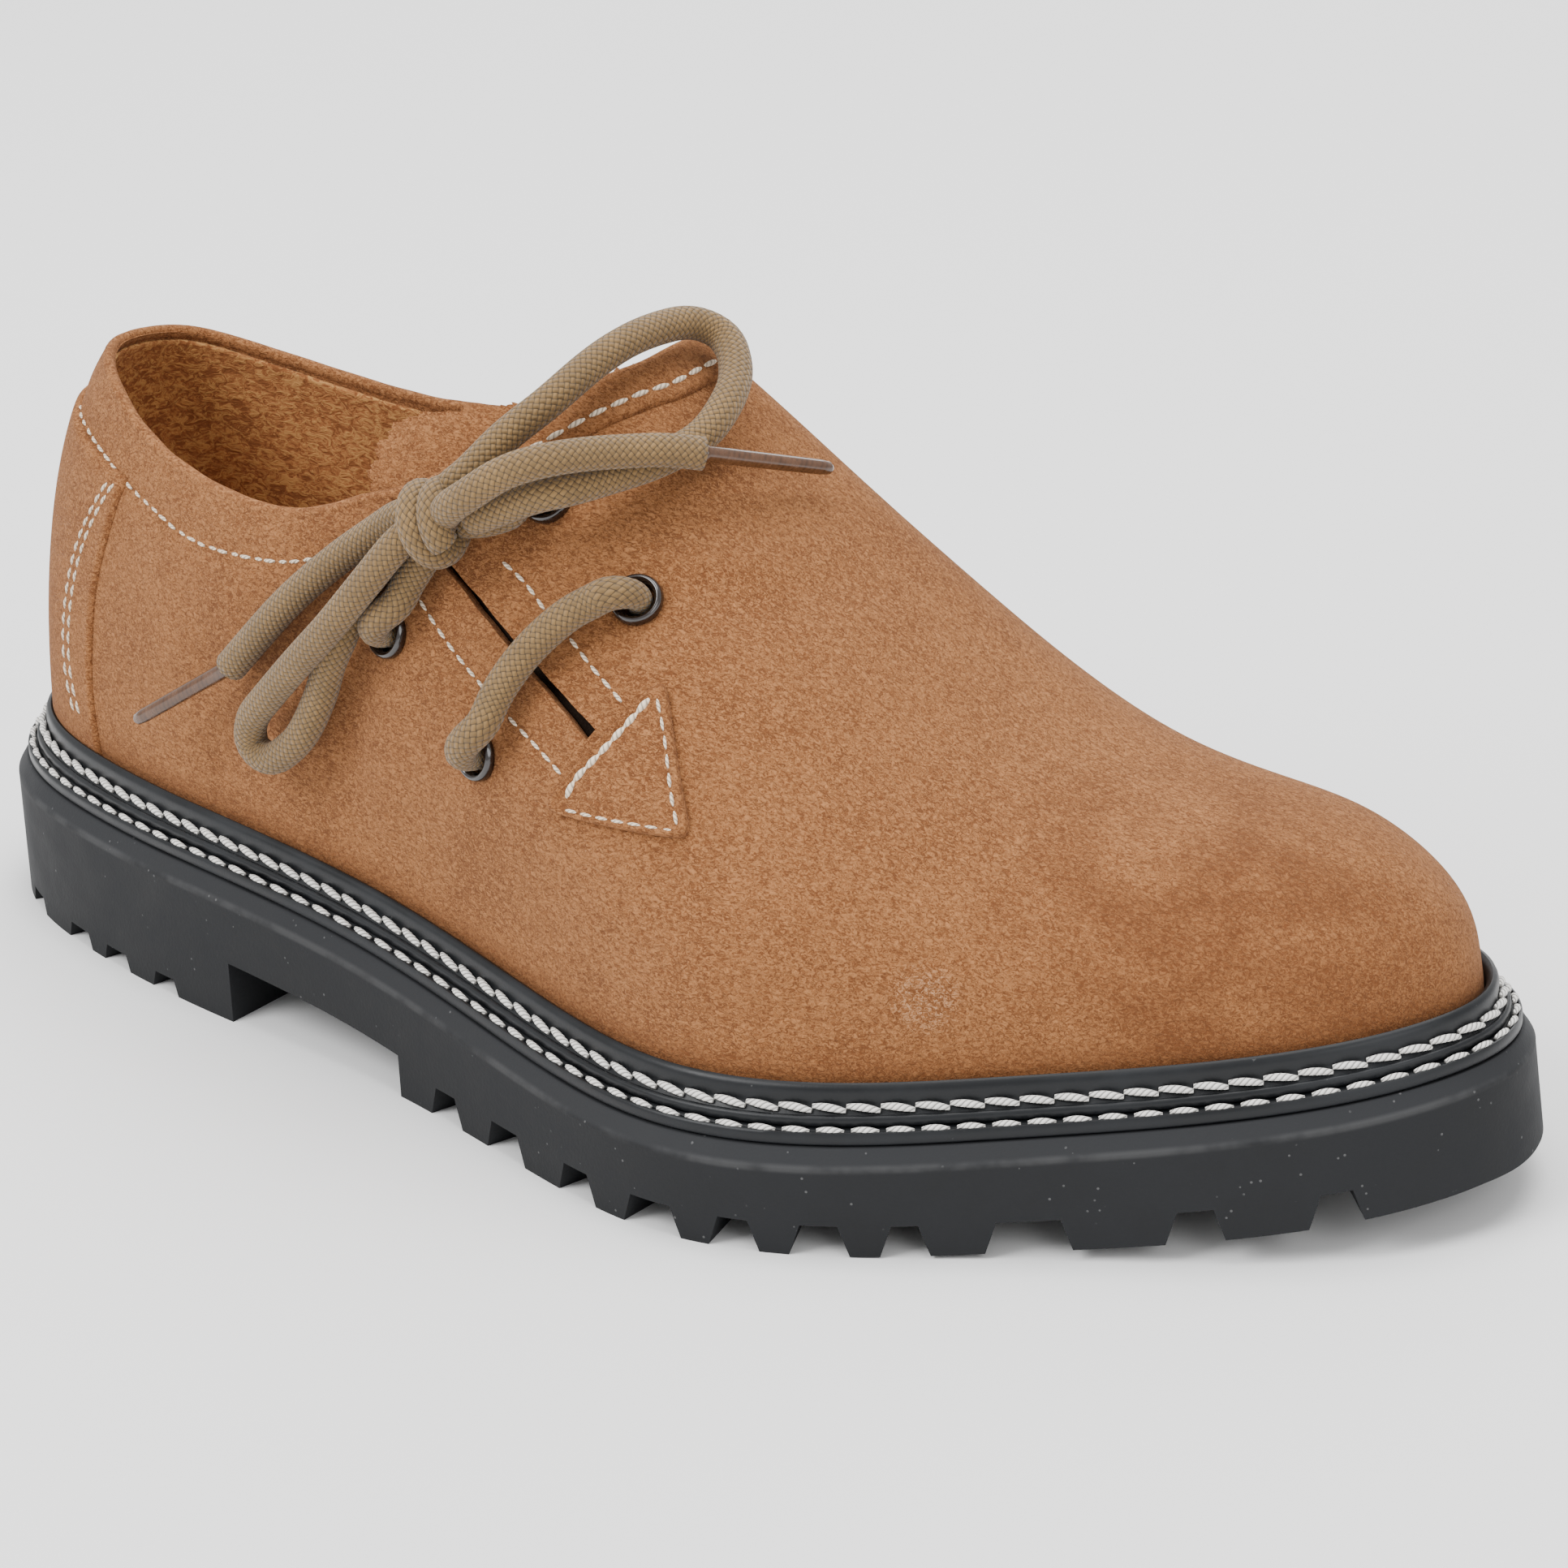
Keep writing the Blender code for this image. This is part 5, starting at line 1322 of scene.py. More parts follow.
def over_rim(name, toward):
    """The lace's line out of an eyelet, over its rim, toward a point of its route."""
    centre, _, _, normal = eyelet_frame(name)
    side = toward - centre
    side -= normal * (side @ normal)
    side /= np.linalg.norm(side)
    aside, off = np.array(RIM_ARCH).T[..., None] * LACE_RADIUS
    return centre + aside * side + off * normal


def dense(points, step=0.0012):
    chord = np.linalg.norm(np.diff(points, axis=0), axis=1).sum()
    return smooth_rows(points, max(8, int(chord / step)))


def lace_tube(name, line, radii):
    profile = oval(1.0, 1.0, 16)
    return swept("lace_" + name, line, rolled_side(line), profile, lace_material(), radii)


class HAFERL_OT_lace(bpy.types.Operator):
    """The crossing, the knot, the bow's loops and tails, and the aglets"""

    bl_idname = "haferl.lace"
    bl_label = "Lace"

    def execute(self, context):
        middle = on_route(LACE_BAR)
        ends = over_rim("vamp_low", middle[0]), over_rim("quarter_low", middle[-1])[::-1]
        line = dense(np.vstack([ends[0], middle, ends[1]]))
        away = np.minimum(np.linalg.norm(line - line[0], axis=1), np.linalg.norm(line - line[-1], axis=1))
        radii = LACE_NECK + (LACE_RADIUS - LACE_NECK) * ease(away / (2 * LACE_RADIUS) - 0.5)
        register_piece(lace_tube("bar_braid", line, radii), "lace_bar", slot="lace")
        for name, (eye, rows) in STRANDS.items():
            middle = on_route(rows)
            line = dense(np.vstack([over_rim(eye, middle[0]), middle]))
            away = np.linalg.norm(line - line[0], axis=1)
            radii = LACE_NECK + (LACE_RADIUS - LACE_NECK) * ease(away / (2 * LACE_RADIUS) - 0.5)
            register_piece(lace_tube(name + "_braid", line, radii), "lace_" + name, slot="lace")
        self.knot()
        self.bow()
        return {"FINISHED"}

    def knot(self):
        """The knot's wrap: a flat turn of lace round the crossing, and a lobe under it."""
        centre = on_route(KNOT)[0]
        tails = on_route([CORDS["tail_back"][2], CORDS["tail_front"][2]])
        normal = on_route([(*KNOT[:2], 2.0)])[0] - on_route([(*KNOT[:2], 1.0)])[0]
        normal /= np.linalg.norm(normal)
        long_axis = tails[1] - tails[0]
        long_axis -= normal * (long_axis @ normal)
        long_axis /= np.linalg.norm(long_axis)
        wide_axis = np.cross(normal, long_axis)
        turns = np.linspace(-0.30, 1.42, 60) * 2 * math.pi
        reach = np.linspace(-1.0, 1.0, 60)
        line = (
            centre
            + np.outer(0.0050 * np.cos(turns), wide_axis)
            + np.outer(0.0046 * np.sin(turns), normal)
            + np.outer(0.0036 * reach - 0.0012, long_axis)
        )
        wrap = swept(
            "lace_knot_wrap", line, rolled_side(line), oval(1.0, 1.0, 16), lace_material(), 0.0026
        )
        register_piece(wrap, "lace_knot", slot="lace")

    def bow(self):
        """Loops and tails as free cords that leave the knot, and the tails' aglets."""
        centre = on_route(KNOT)[0]
        aglets = self.aglets()
        for name, rows in CORDS.items():
            line = dense(on_route(rows))
            cord = lace_tube(name + "_braid", line, LACE_RADIUS)
            register_piece(cord, "lace_" + name, slot="lace")

    def aglets(self):
        """Clear sleeves: a round profile that narrows to a rounded end."""
        made = {}
        for name, (tail, far_end) in AGLET_ENDS.items():
            start = on_route(CORDS[tail][-1])[0]
            toward = on_route(far_end)[0] - start
            toward /= np.linalg.norm(toward)
            share = np.array([-0.05, -0.02, 0.0, 0.03, 0.30, 0.60, 0.90, 0.97, 0.99, 1.0])
            radii = np.array([0.3, 0.9, 1.25, 1.10, 1.02, 1.00, 0.95, 0.80, 0.5, 0.1]) * AGLET_RADIUS
            line = start + np.outer(share * AGLET_LONG, toward)
            section = oval(1.0, 1.0, 20)
            sleeve = swept(name + "_sleeve", line, rolled_side(line), section, aglet_material(), radii)
            made[tail] = register_piece(sleeve, name, slot="aglet")
        return made


# Upper, overlays, tongue and lining

def shell(stations, risers):
    """The last's skin as one closed-top mesh: points, faces and the size of a ring."""
    tau = np.arange(2 * stations) / stations
    even = np.linspace(0, 1, risers + 1)[:-1]
    v = 0.45 * even + 0.55 * (1 - np.cos(even * math.pi / 2))
    sides = hide(tau[None, :], v[:, None]).reshape(-1, 3)
    crest = hide(tau[: stations + 1], 1.0)
    points = np.vstack([sides, crest])
    size = 2 * stations
    faces = [grid_faces(risers, size, wrap=True)]
    i = np.arange(stations)
    top, first = (risers - 1) * size, risers * size
    faces.append(np.stack([top + i, top + i + 1, first + i + 1, first + i], axis=1))
    near, far = top + size - i - 1, top + (size - i) % size
    faces.append(np.stack([near, far, first + i, first + i + 1], axis=1))
    return points, np.vstack(faces), size


def vertex_normals(points, faces):
    corners = points[faces]
    normal = np.cross(corners[:, 2] - corners[:, 0], corners[:, 3] - corners[:, 1])
    total = np.zeros_like(points)
    for k in range(4):
        np.add.at(total, faces[:, k], normal)
    return total / np.linalg.norm(total, axis=1)[:, None]


def collar_cutter():
    """What lies above the collar's line, as a closed block with a smooth underside."""
    shares = np.concatenate([np.linspace(-0.05, 0.47, 120), np.linspace(0.472, 0.502, 60)])
    x = x_at(shares)
    sides = np.concatenate([[-SOLE_WIDTH], np.linspace(-COLLAR_HALF, COLLAR_HALF, 9), [SOLE_WIDTH]])
    grid_x, grid_y = np.meshgrid(x, sides, indexing="ij")
    low = np.stack([grid_x, grid_y, collar_height(grid_x, grid_y)], axis=-1)
    high = low.copy()
    high[..., 2] = up_height(2.2)
    return slab("cut_collar", low, high, plain("cutter", (0.5, 0.5, 0.5)))


def slit_cutter():
    """A thin wedge down the line between the facings."""
    rows = smooth_rows(SLIT, 40)
    tau, v = at_height(rows[:, 0], rows[:, 1])
    points, normals = last(tau, v), last_normal(tau, v)
    tangent = np.gradient(points, axis=0)
    across = np.cross(tangent, normals)
    across /= np.linalg.norm(across, axis=1)[:, None]
    share = np.linspace(0, 1, len(rows))
    wander = 0.00012 * np.sin(37 * share) * np.sin(11 * share)
    half = (SLIT_TOP_WIDE + (SLIT_LOW_WIDE - SLIT_TOP_WIDE) * share)[:, None] / 2 + wander[:, None]
    deep = 2.4 * UPPER_WALL
    corners = ((1, -1), (1, 1), (-1, 1), (-1, -1))
    grid = np.stack([points + i * deep * normals + j * half * across for i, j in corners], axis=1)
    faces = grid_faces(len(rows), 4, wrap=True).tolist()
    faces += [[0, 1, 2, 3], [4 * len(rows) - 1 - k for k in range(4)]]
    made = new_piece("cut_slit", grid, faces, plain("cutter", (0.5, 0.5, 0.5)))
    face_out(made)
    return made


def turned(name, frame_of, profile, sides, finish):
    """A closed profile of (radius, height) points turned about an eyelet's normal."""
    centre, first, second, normal = frame_of
    profile = np.asarray(profile, float)
    angles = np.arange(sides) * 2 * math.pi / sides
    spoke = np.cos(angles)[:, None] * first + np.sin(angles)[:, None] * second
    grid = centre + profile[:, 0][:, None, None] * spoke + profile[:, 1][:, None, None] * normal
    made = new_piece(name, grid, grid_faces(len(profile), sides, wrap=True, loop=True), finish)
    return closed_out(made)


def hole_cutters():
    prisms = []
    for name in EYELETS:
        centre, first, second, normal = eyelet_frame(name)
        angles = np.arange(32) * math.pi / 16
        spoke = np.cos(angles)[:, None] * first + np.sin(angles)[:, None] * second
        round_hole = centre + (EYELET_HOLE + EYELET_BARREL) * spoke
        prisms.append(prism(round_hole - 3 * UPPER_WALL * normal, round_hole + 2 * UPPER_WALL * normal))
    return cutter_piece("cut_eyelets", prisms)


def opening_side(shares, outer):
    """(tau, v) along one side's collar edge, where the skin meets the cut."""
    tau = tau_at(shares, outer)
    steps = np.linspace(0.15, 1, 400)
    points = last(tau[:, None], steps[None, :])
    gap = points[..., 2] - collar_height(points[..., 0], points[..., 1])
    first = np.argmax(gap > 0, axis=1)
    first = np.clip(first, 1, len(steps) - 1)
    rows = np.arange(len(tau))
    g0, g1 = gap[rows, first - 1], gap[rows, first]
    part = np.clip(-g0 / np.maximum(g1 - g0, 1e-9), 0, 1)
    return tau, steps[first - 1] + part * (steps[1] - steps[0])


def opening_front(across):
    """(tau, v) along the throat's front edge, one point for each line across the ridge."""
    shares = np.linspace(0.36, 0.53, 500)
    tau = tau_at(shares)
    found = []
    for t in across:
        points = last(tau if t <= 0 else 2 - tau, 1 - abs(t))
        gap = points[:, 2] - collar_height(points[:, 0], points[:, 1])
        i = min(np.nonzero(gap > 0)[0][-1], len(shares) - 2)
        found.append(shares[i] + (shares[1] - shares[0]) * gap[i] / max(gap[i] - gap[i + 1], 1e-9))
    tau = tau_at(np.array(found))
    return np.where(across <= 0, tau, 2 - tau), 1 - np.abs(across)


def opening_line():
    """The whole edge of the opening, round from the heel by the outer side and back."""
    shares = 0.0275 + 0.93 * np.linspace(0.0, 0.425, 150)
    outer = opening_side(shares, True)
    inner = opening_side(shares, False)
    front = opening_front(np.linspace(-0.44, 0.40, 90))
    tau = np.concatenate([outer[0], front[0], inner[0][::-1]])
    v = np.concatenate([outer[1], front[1], inner[1][::-1]])
    return tau, v


class HAFERL_OT_upper(bpy.types.Operator):
    """Vamp and quarters: one hollow shell of suede with its collar's rolled edge"""

    bl_idname = "haferl.upper"
    bl_label = "Upper"

    def execute(self, context):
        sizes = context.scene.haferl_sizes
        points, faces, size = shell(sizes.stations, sizes.risers)
        inside = points - UPPER_WALL * vertex_normals(points, faces)
        inside[:size, 2] = points[:size, 2]
        total = len(points)
        i = np.arange(size)
        foot = np.stack([total + i, total + (i + 1) % size, (i + 1) % size, i], axis=1)
        every = np.vstack([faces, faces[:, ::-1] + total, foot])
        upper = new_piece("upper_suede", np.vstack([points, inside]), every, suede())
        face_out(upper)
        cut_with(upper, [collar_cutter(), slit_cutter(), hole_cutters()])
        upper.data.shade_smooth()
        upper.data.set_sharp_from_angle(angle=math.radians(40))
        register_piece(upper, "upper", slot="suede")
        self.rolled_edge(sizes)
        return {"FINISHED"}

    def rolled_edge(self, sizes):
        """The turned edge of the collar: an oval roll along the opening."""
        tau, v = opening_line()
        path = hide(tau, v, -0.5 * UPPER_WALL)
        side = last_normal(tau, v)
        keep = np.concatenate([[True], np.linalg.norm(np.diff(path, axis=0), axis=1) > 1e-5])
        path, side = path[keep], side[keep]
        length = np.concatenate([[0], np.cumsum(np.linalg.norm(np.diff(path, axis=0), axis=1))])
        at = np.linspace(0, length[-1], 420)
        path, side = read_at(at, length, path), read_at(at, length, side)
        kernel = np.hanning(9) / np.hanning(9).sum()
        for rows in (path, side):
            for k in range(3):
                rows[4:-4, k] = np.convolve(rows[:, k], kernel, "valid")
        profile = oval(0.56 * UPPER_WALL, sizes.collar_round, 14)
        roll = swept("collar_roll", path, side, profile, suede(), loop=True)
        register_piece(roll, slot="suede")


class HAFERL_OT_overlays(bpy.types.Operator):
    """Heel counter, throat band and lace patch"""

    bl_idname = "haferl.overlays"
    bl_label = "Overlays"

    def execute(self, context):
        register_piece(self.counter(), "heel_counter", slot="suede")
        register_piece(self.band(), "throat_band", slot="suede")
        register_piece(self.patch(), "lace_patch", slot="suede")
        return {"FINISHED"}

    def counter(self):
        """Round the heel between the counter's two front edges, up to the collar's seam."""
        rows = np.array(COUNTER)
        levels = np.linspace(0, 1, 60)
        up = rows[0, 1] + (rows[-1, 1] - rows[0, 1]) * levels
        edge = tau_at(spline(rows[:, 1], rows[:, 0], up))
        round_heel = np.linspace(-1, 1, 150)
        round_heel = np.sin(round_heel * math.pi / 2) * 0.4 + round_heel * 0.6
        tau = np.mod(-edge[:, None] * round_heel[None, :], 2)
        rise = (COUNTER_TOP - rows[-1, 1]) * (1 - np.abs(round_heel) ** 1.5)
        height = up_height(up[:, None] + levels[:, None] * rise[None, :])
        foot = insole_level(last(tau, 0.0)[..., 0]) + LIP_TOP - RAND_BASE - 0.001
        height = np.maximum(height, foot + levels[:, None] * 0.001)
        return plate("counter_suede", tau, v_at(tau, height), 0.9 * OVERLAY_THICK, 0.0012, suede())

    def band(self):
        """The strip along the throat's edge, over the instep."""
        across = np.linspace(-0.46, 0.42, 120)
        tau, v = opening_front(across)
        edge = share_at(side_point(FEATHER, tau)[0])
        front = edge + 1.25 * THROAT_BAND_WIDE / (TIP_X - BACK_X)
        share = edge[:, None] + (front - edge)[:, None] * np.linspace(0.0, 1, 16)[None, :]
        tau = np.where(across[:, None] <= 0, tau_at(share), 2 - tau_at(share))
        v = np.broadcast_to(1 - np.abs(across)[:, None], tau.shape)
        return plate("throat_suede", tau, v, OVERLAY_THICK, 0.0008, suede())

    def patch(self):
        """A three-cornered patch: rings that shrink to the middle, the outermost turned down."""
        corners = np.array(PATCH)
        middle = corners.mean(axis=0)
        outline = []
        for i in range(3):
            before, corner, after = corners[i - 1], corners[i], corners[(i + 1) % 3]
            start = corner + (before - corner) * PATCH_ROUND
            end = corner + (after - corner) * PATCH_ROUND
            for t in np.linspace(0, 1, 8):
                outline.append((1 - t) ** 2 * start + 2 * t * (1 - t) * corner + t * t * end)
            stop = after + (corner - after) * PATCH_ROUND
            for t in np.linspace(0, 1, 22)[1:-1]:
                outline.append(end + (stop - end) * t)
        outline = np.array(outline)
        shares = np.array([1.03, 1.03, 1.015, 0.985, 0.95, 0.88, 0.8, 0.7, 0.6, 0.5, 0.4, 0.3, 0.2, 0.1])
        lifts = np.array([-0.3, 0.60, 1.15, 1.40, 1.42, 1.00, 1.05, 1.12, 1.16, 1.2, 1.2, 1.2, 1.2, 1.2])
        flat = middle + (outline - middle)[None] * shares[:, None, None]
        tau, v = at_height(flat[..., 0], flat[..., 1])
        grid = hide(tau, v, np.broadcast_to(lifts[:, None] * OVERLAY_THICK, tau.shape))
        count = len(outline)
        faces = grid_faces(len(shares), count, wrap=True).tolist()
        faces.append(list(range(count))[::-1])
        faces.append(list(range((len(shares) - 1) * count, len(shares) * count)))
        return closed_out(new_piece("patch_suede", grid, faces, suede()))


class HAFERL_OT_tongue(bpy.types.Operator):
    """The tongue, whose raw back edge shows above the collar"""

    bl_idname = "haferl.tongue"
    bl_label = "Tongue"

    def execute(self, context):
        rows = np.array(TONGUE_BACK)
        across = np.linspace(rows[0, 0], rows[-1, 0], 260)
        back = np.interp(across, rows[:, 0], rows[:, 1])
        kernel = np.hanning(11) / np.hanning(11).sum()
        back[5:-5] = np.convolve(back, kernel, "valid")
        phase = (across - across[0]) * 160
        bites = 0.45 * np.sin(phase) + 0.30 * np.sin(2.3 * phase + 1.0) + 0.25 * np.sin(4.7 * phase + 2.0)
        back = back + bites * 0.0013 / SOLE_LENGTH
        run = np.linspace(0, 1, 70) ** 1.3
        share = back[:, None] + (TONGUE_FRONT - back)[:, None] * run[None, :]
        tau = tau_at(share)
        v = np.broadcast_to(1 + across[:, None], tau.shape)
        top = -(UPPER_WALL + TONGUE_GAP)
        thin = 0.25 + 0.75 * ease(run / 0.03)[None, :]
        low = skin(tau, v, np.broadcast_to(top - TONGUE_THICK * thin, tau.shape))
        high = skin(tau, v, np.full(tau.shape, top))
        tongue = slab("tongue_suede", low, high, tongue_suede())
        every = np.concatenate([low.reshape(-1, 3), high.reshape(-1, 3)])
        # Painted shadow mask: near the slit and below the collar's line, where the upper shades the tongue.
        by_slit = np.tile(np.repeat(np.exp(-(((across + 0.61) / 0.13) ** 2)), len(run)), 2)
        under = ease((collar_height(every[:, 0], every[:, 1]) - every[:, 2]) / 0.004) * by_slit
        layer = tongue.data.attributes.new("covered", "FLOAT", "POINT")
        layer.data.foreach_set("value", under.astype(np.float32))
        register_piece(tongue, "tongue", slot="suede")
        return {"FINISHED"}


class HAFERL_OT_inside(bpy.types.Operator):
    """The lining inside the upper, and the insole"""

    bl_idname = "haferl.inside"
    bl_label = "Inside"

    def execute(self, context):
        tau = np.arange(320) / 160
        v_top = np.full(len(tau), 0.86)
        shares = share_at(side_point(FEATHER, tau)[0])
        for outer in (True, False):
            mine = (tau <= 1) == outer
            near = mine & (shares < 0.43)
            _, found = opening_side(shares[near], outer)
            v_top[near] = found - 0.012
        front = (shares >= 0.38) & (shares < 0.62) & (tau <= 1)
        v_top[front] = 0.28
        across_throat = (shares >= 0.43) & (shares < 0.52) & (tau > 1)
        v_top[across_throat] = 0.60
        rows = np.linspace(0.03, 1, 48)
        v = rows[:, None] * v_top[None, :]
        t = np.broadcast_to(tau[None, :], v.shape)
        outer_face = skin(t, v, np.full(t.shape, -UPPER_WALL - 0.0001))
        inner_face = skin(t, v, np.full(t.shape, -UPPER_WALL - 0.0006))
        total = outer_face[..., 0].size
        faces = [
            grid_faces(48, 320, wrap=True),
            grid_faces(48, 320, wrap=True, first=total)[:, ::-1],
        ]
        i = np.arange(320)
        for row in (0, 47):
            a, b = row * 320 + i, row * 320 + (i + 1) % 320
            faces.append(np.stack([a, b, b + total, a + total], axis=1))
        points = np.vstack([outer_face.reshape(-1, 3), inner_face.reshape(-1, 3)])
        piece = closed_out(new_piece("lining_suede", points, np.vstack(faces), lining()))
        register_piece(piece, slot="lining")
        self.insole()
        return {"FINISHED"}

    def insole(self):
        """A plate inside the feather edge, its rim rounded and its middle a little hollow."""
        inset = FEATHER + UPPER_WALL + 2 * SEAT_GAP
        rows = (
            (inset, 0.0),
            (inset, 0.7 * INSOLE_THICK),
            (inset + 0.0006, 0.95 * INSOLE_THICK),
            (inset + 0.002, INSOLE_THICK),
        )
        rings = [ring(a, lambda x, b=b: insole_level(x) + b, 160) for a, b in rows]
        piece = layered("insole_board", rings, lining())
        register_piece(piece, "insole", slot="lining")


def layered(name, rings, finish, closed_ring=False, sharp=None):
    """A solid from outline rings: a plate capped top and bottom, or a closed band."""
    count = len(rings[0])
    points = np.vstack(rings)
    faces = grid_faces(len(rings), count, wrap=True, loop=closed_ring).tolist()
    if not closed_ring:
        half = count // 2
        for first, flip in ((0, True), ((len(rings) - 1) * count, False)):
            for i in range(half):
                ends = (i, i + 1, (count - i - 1) % count, (count - i) % count)
                face = [first + j for k, j in enumerate(ends) if j not in ends[:k]]
                faces.append(face[::-1] if flip else face)
    made = new_piece(name, points, faces, finish)
    face_out(made)
    made.data.shade_smooth()
    if sharp:
        made.data.set_sharp_from_angle(angle=math.radians(sharp))
    return made


class HAFERL_OT_seams(bpy.types.Operator):
    """Stitches of collar, facings, patch, throat band and heel counter"""

    bl_idname = "haferl.seams"
    bl_label = "Seams"

    def execute(self, context):
        sizes = context.scene.haferl_sizes
        long, gap, radius = sizes.stitch_long, sizes.stitch_gap, sizes.stitch_radius
        thread = seam_thread()
        for name in ("collar", "vamp_facing", "quarter_facing"):
            self.row(name, SEAMS[name], 0.0, thread, long, gap, radius)
        mirrored = [(a, -0.87 * b) for a, b in SEAMS["collar"]]
        self.row("collar_inner", mirrored, 0.0, thread, long, gap, radius)
        self.heel_row(SEAMS["collar"][0], mirrored[0], thread, long, gap, radius)
        for name in ("patch_right", "patch_low"):
            self.row(name, SEAMS[name], OVERLAY_THICK, thread, long, gap, radius)
        self.row("patch_left", SEAMS["patch_left"], OVERLAY_THICK, thread, 1.25 * long, 0.0, 1.9 * radius)
        for name, shift in (("counter_one", 0.0), ("counter_two", -0.0080)):
            rows = [(a + shift, b) for a, b in SEAMS["counter"]]
            inner = [(a, -b) for a, b in rows]
            self.row(name, rows, 0.9 * OVERLAY_THICK, thread, long, gap, radius)
            self.row(name + "_inner", inner, 0.9 * OVERLAY_THICK, thread, long, gap, radius)
        self.band_row(thread, long, gap, radius)
        return {"FINISHED"}

    def row(self, name, rows, off, thread, long, gap, radius):
        tau, v = at_across(smooth_rows(rows, 220))
        path = hide(tau, v, np.full(tau.shape, off))
        seam = stitch_row("seam_" + name, path, last_normal(tau, v), thread, long, gap, radius, 0.5 * radius)
        register_piece(seam, slot="suede")

    def heel_row(self, outer_end, inner_end, thread, long, gap, radius):
        """The collar's row round the heel, from its outer stretch to its inner one."""
        ends, v = at_across([outer_end, inner_end])
        heights = last(ends, v)[:, 2]
        tau = np.linspace(ends[0], ends[1] - 2, 120)
        v = v_at(np.mod(tau, 2), np.linspace(*heights, 120))
        path = hide(tau, v, 0.0)
        seam = stitch_row("seam_heel", path, last_normal(tau, v), thread, long, gap, radius, 0.5 * radius)
        register_piece(seam, slot="suede")

    def band_row(self, thread, long, gap, radius):
        """The throat band's row, at even distance from the throat's edge."""
        across = np.linspace(-0.43, 0.39, 160)
        tau, v = opening_front(across)
        share = share_at(side_point(FEATHER, tau)[0]) + 0.0052 / (TIP_X - BACK_X)
        tau = np.where(across <= 0, tau_at(share), 2 - tau_at(share))
        path = hide(tau, v, np.full(tau.shape, OVERLAY_THICK))
        normals = last_normal(tau, v)
        long, radius = 1.3 * long, 1.5 * radius
        seam = stitch_row("seam_band", path, normals, thread, long, gap, radius, 0.4 * radius)
        register_piece(seam, slot="suede")


class HAFERL_OT_eyelets(bpy.types.Operator):
    """Four enamelled eyelets with rounded rims"""

    bl_idname = "haferl.eyelets"
    bl_label = "Eyelets"

    def execute(self, context):
        seat = 1.6 * SEAT_GAP
        turn = np.linspace(0, math.pi, 12)
        middle = 0.5 * (EYELET_RIM + EYELET_HOLE)
        half = 0.5 * (EYELET_RIM - EYELET_HOLE)
        low, tall = seat - 0.0004, EYELET_PROUD + 0.0004
        rim = [(middle + half * math.cos(a), low + tall * math.sin(a)) for a in turn]
        outer = EYELET_HOLE + EYELET_BARREL
        profile = [(outer, -UPPER_WALL), (outer, low), *rim, (EYELET_HOLE, -UPPER_WALL)]
        for name in EYELETS:
            piece = turned("rim_" + name, eyelet_frame(name), profile, 48, enamel())
            register_piece(piece, "eyelet_" + name, slot="eyelet")
        return {"FINISHED"}


# The sole and its welt

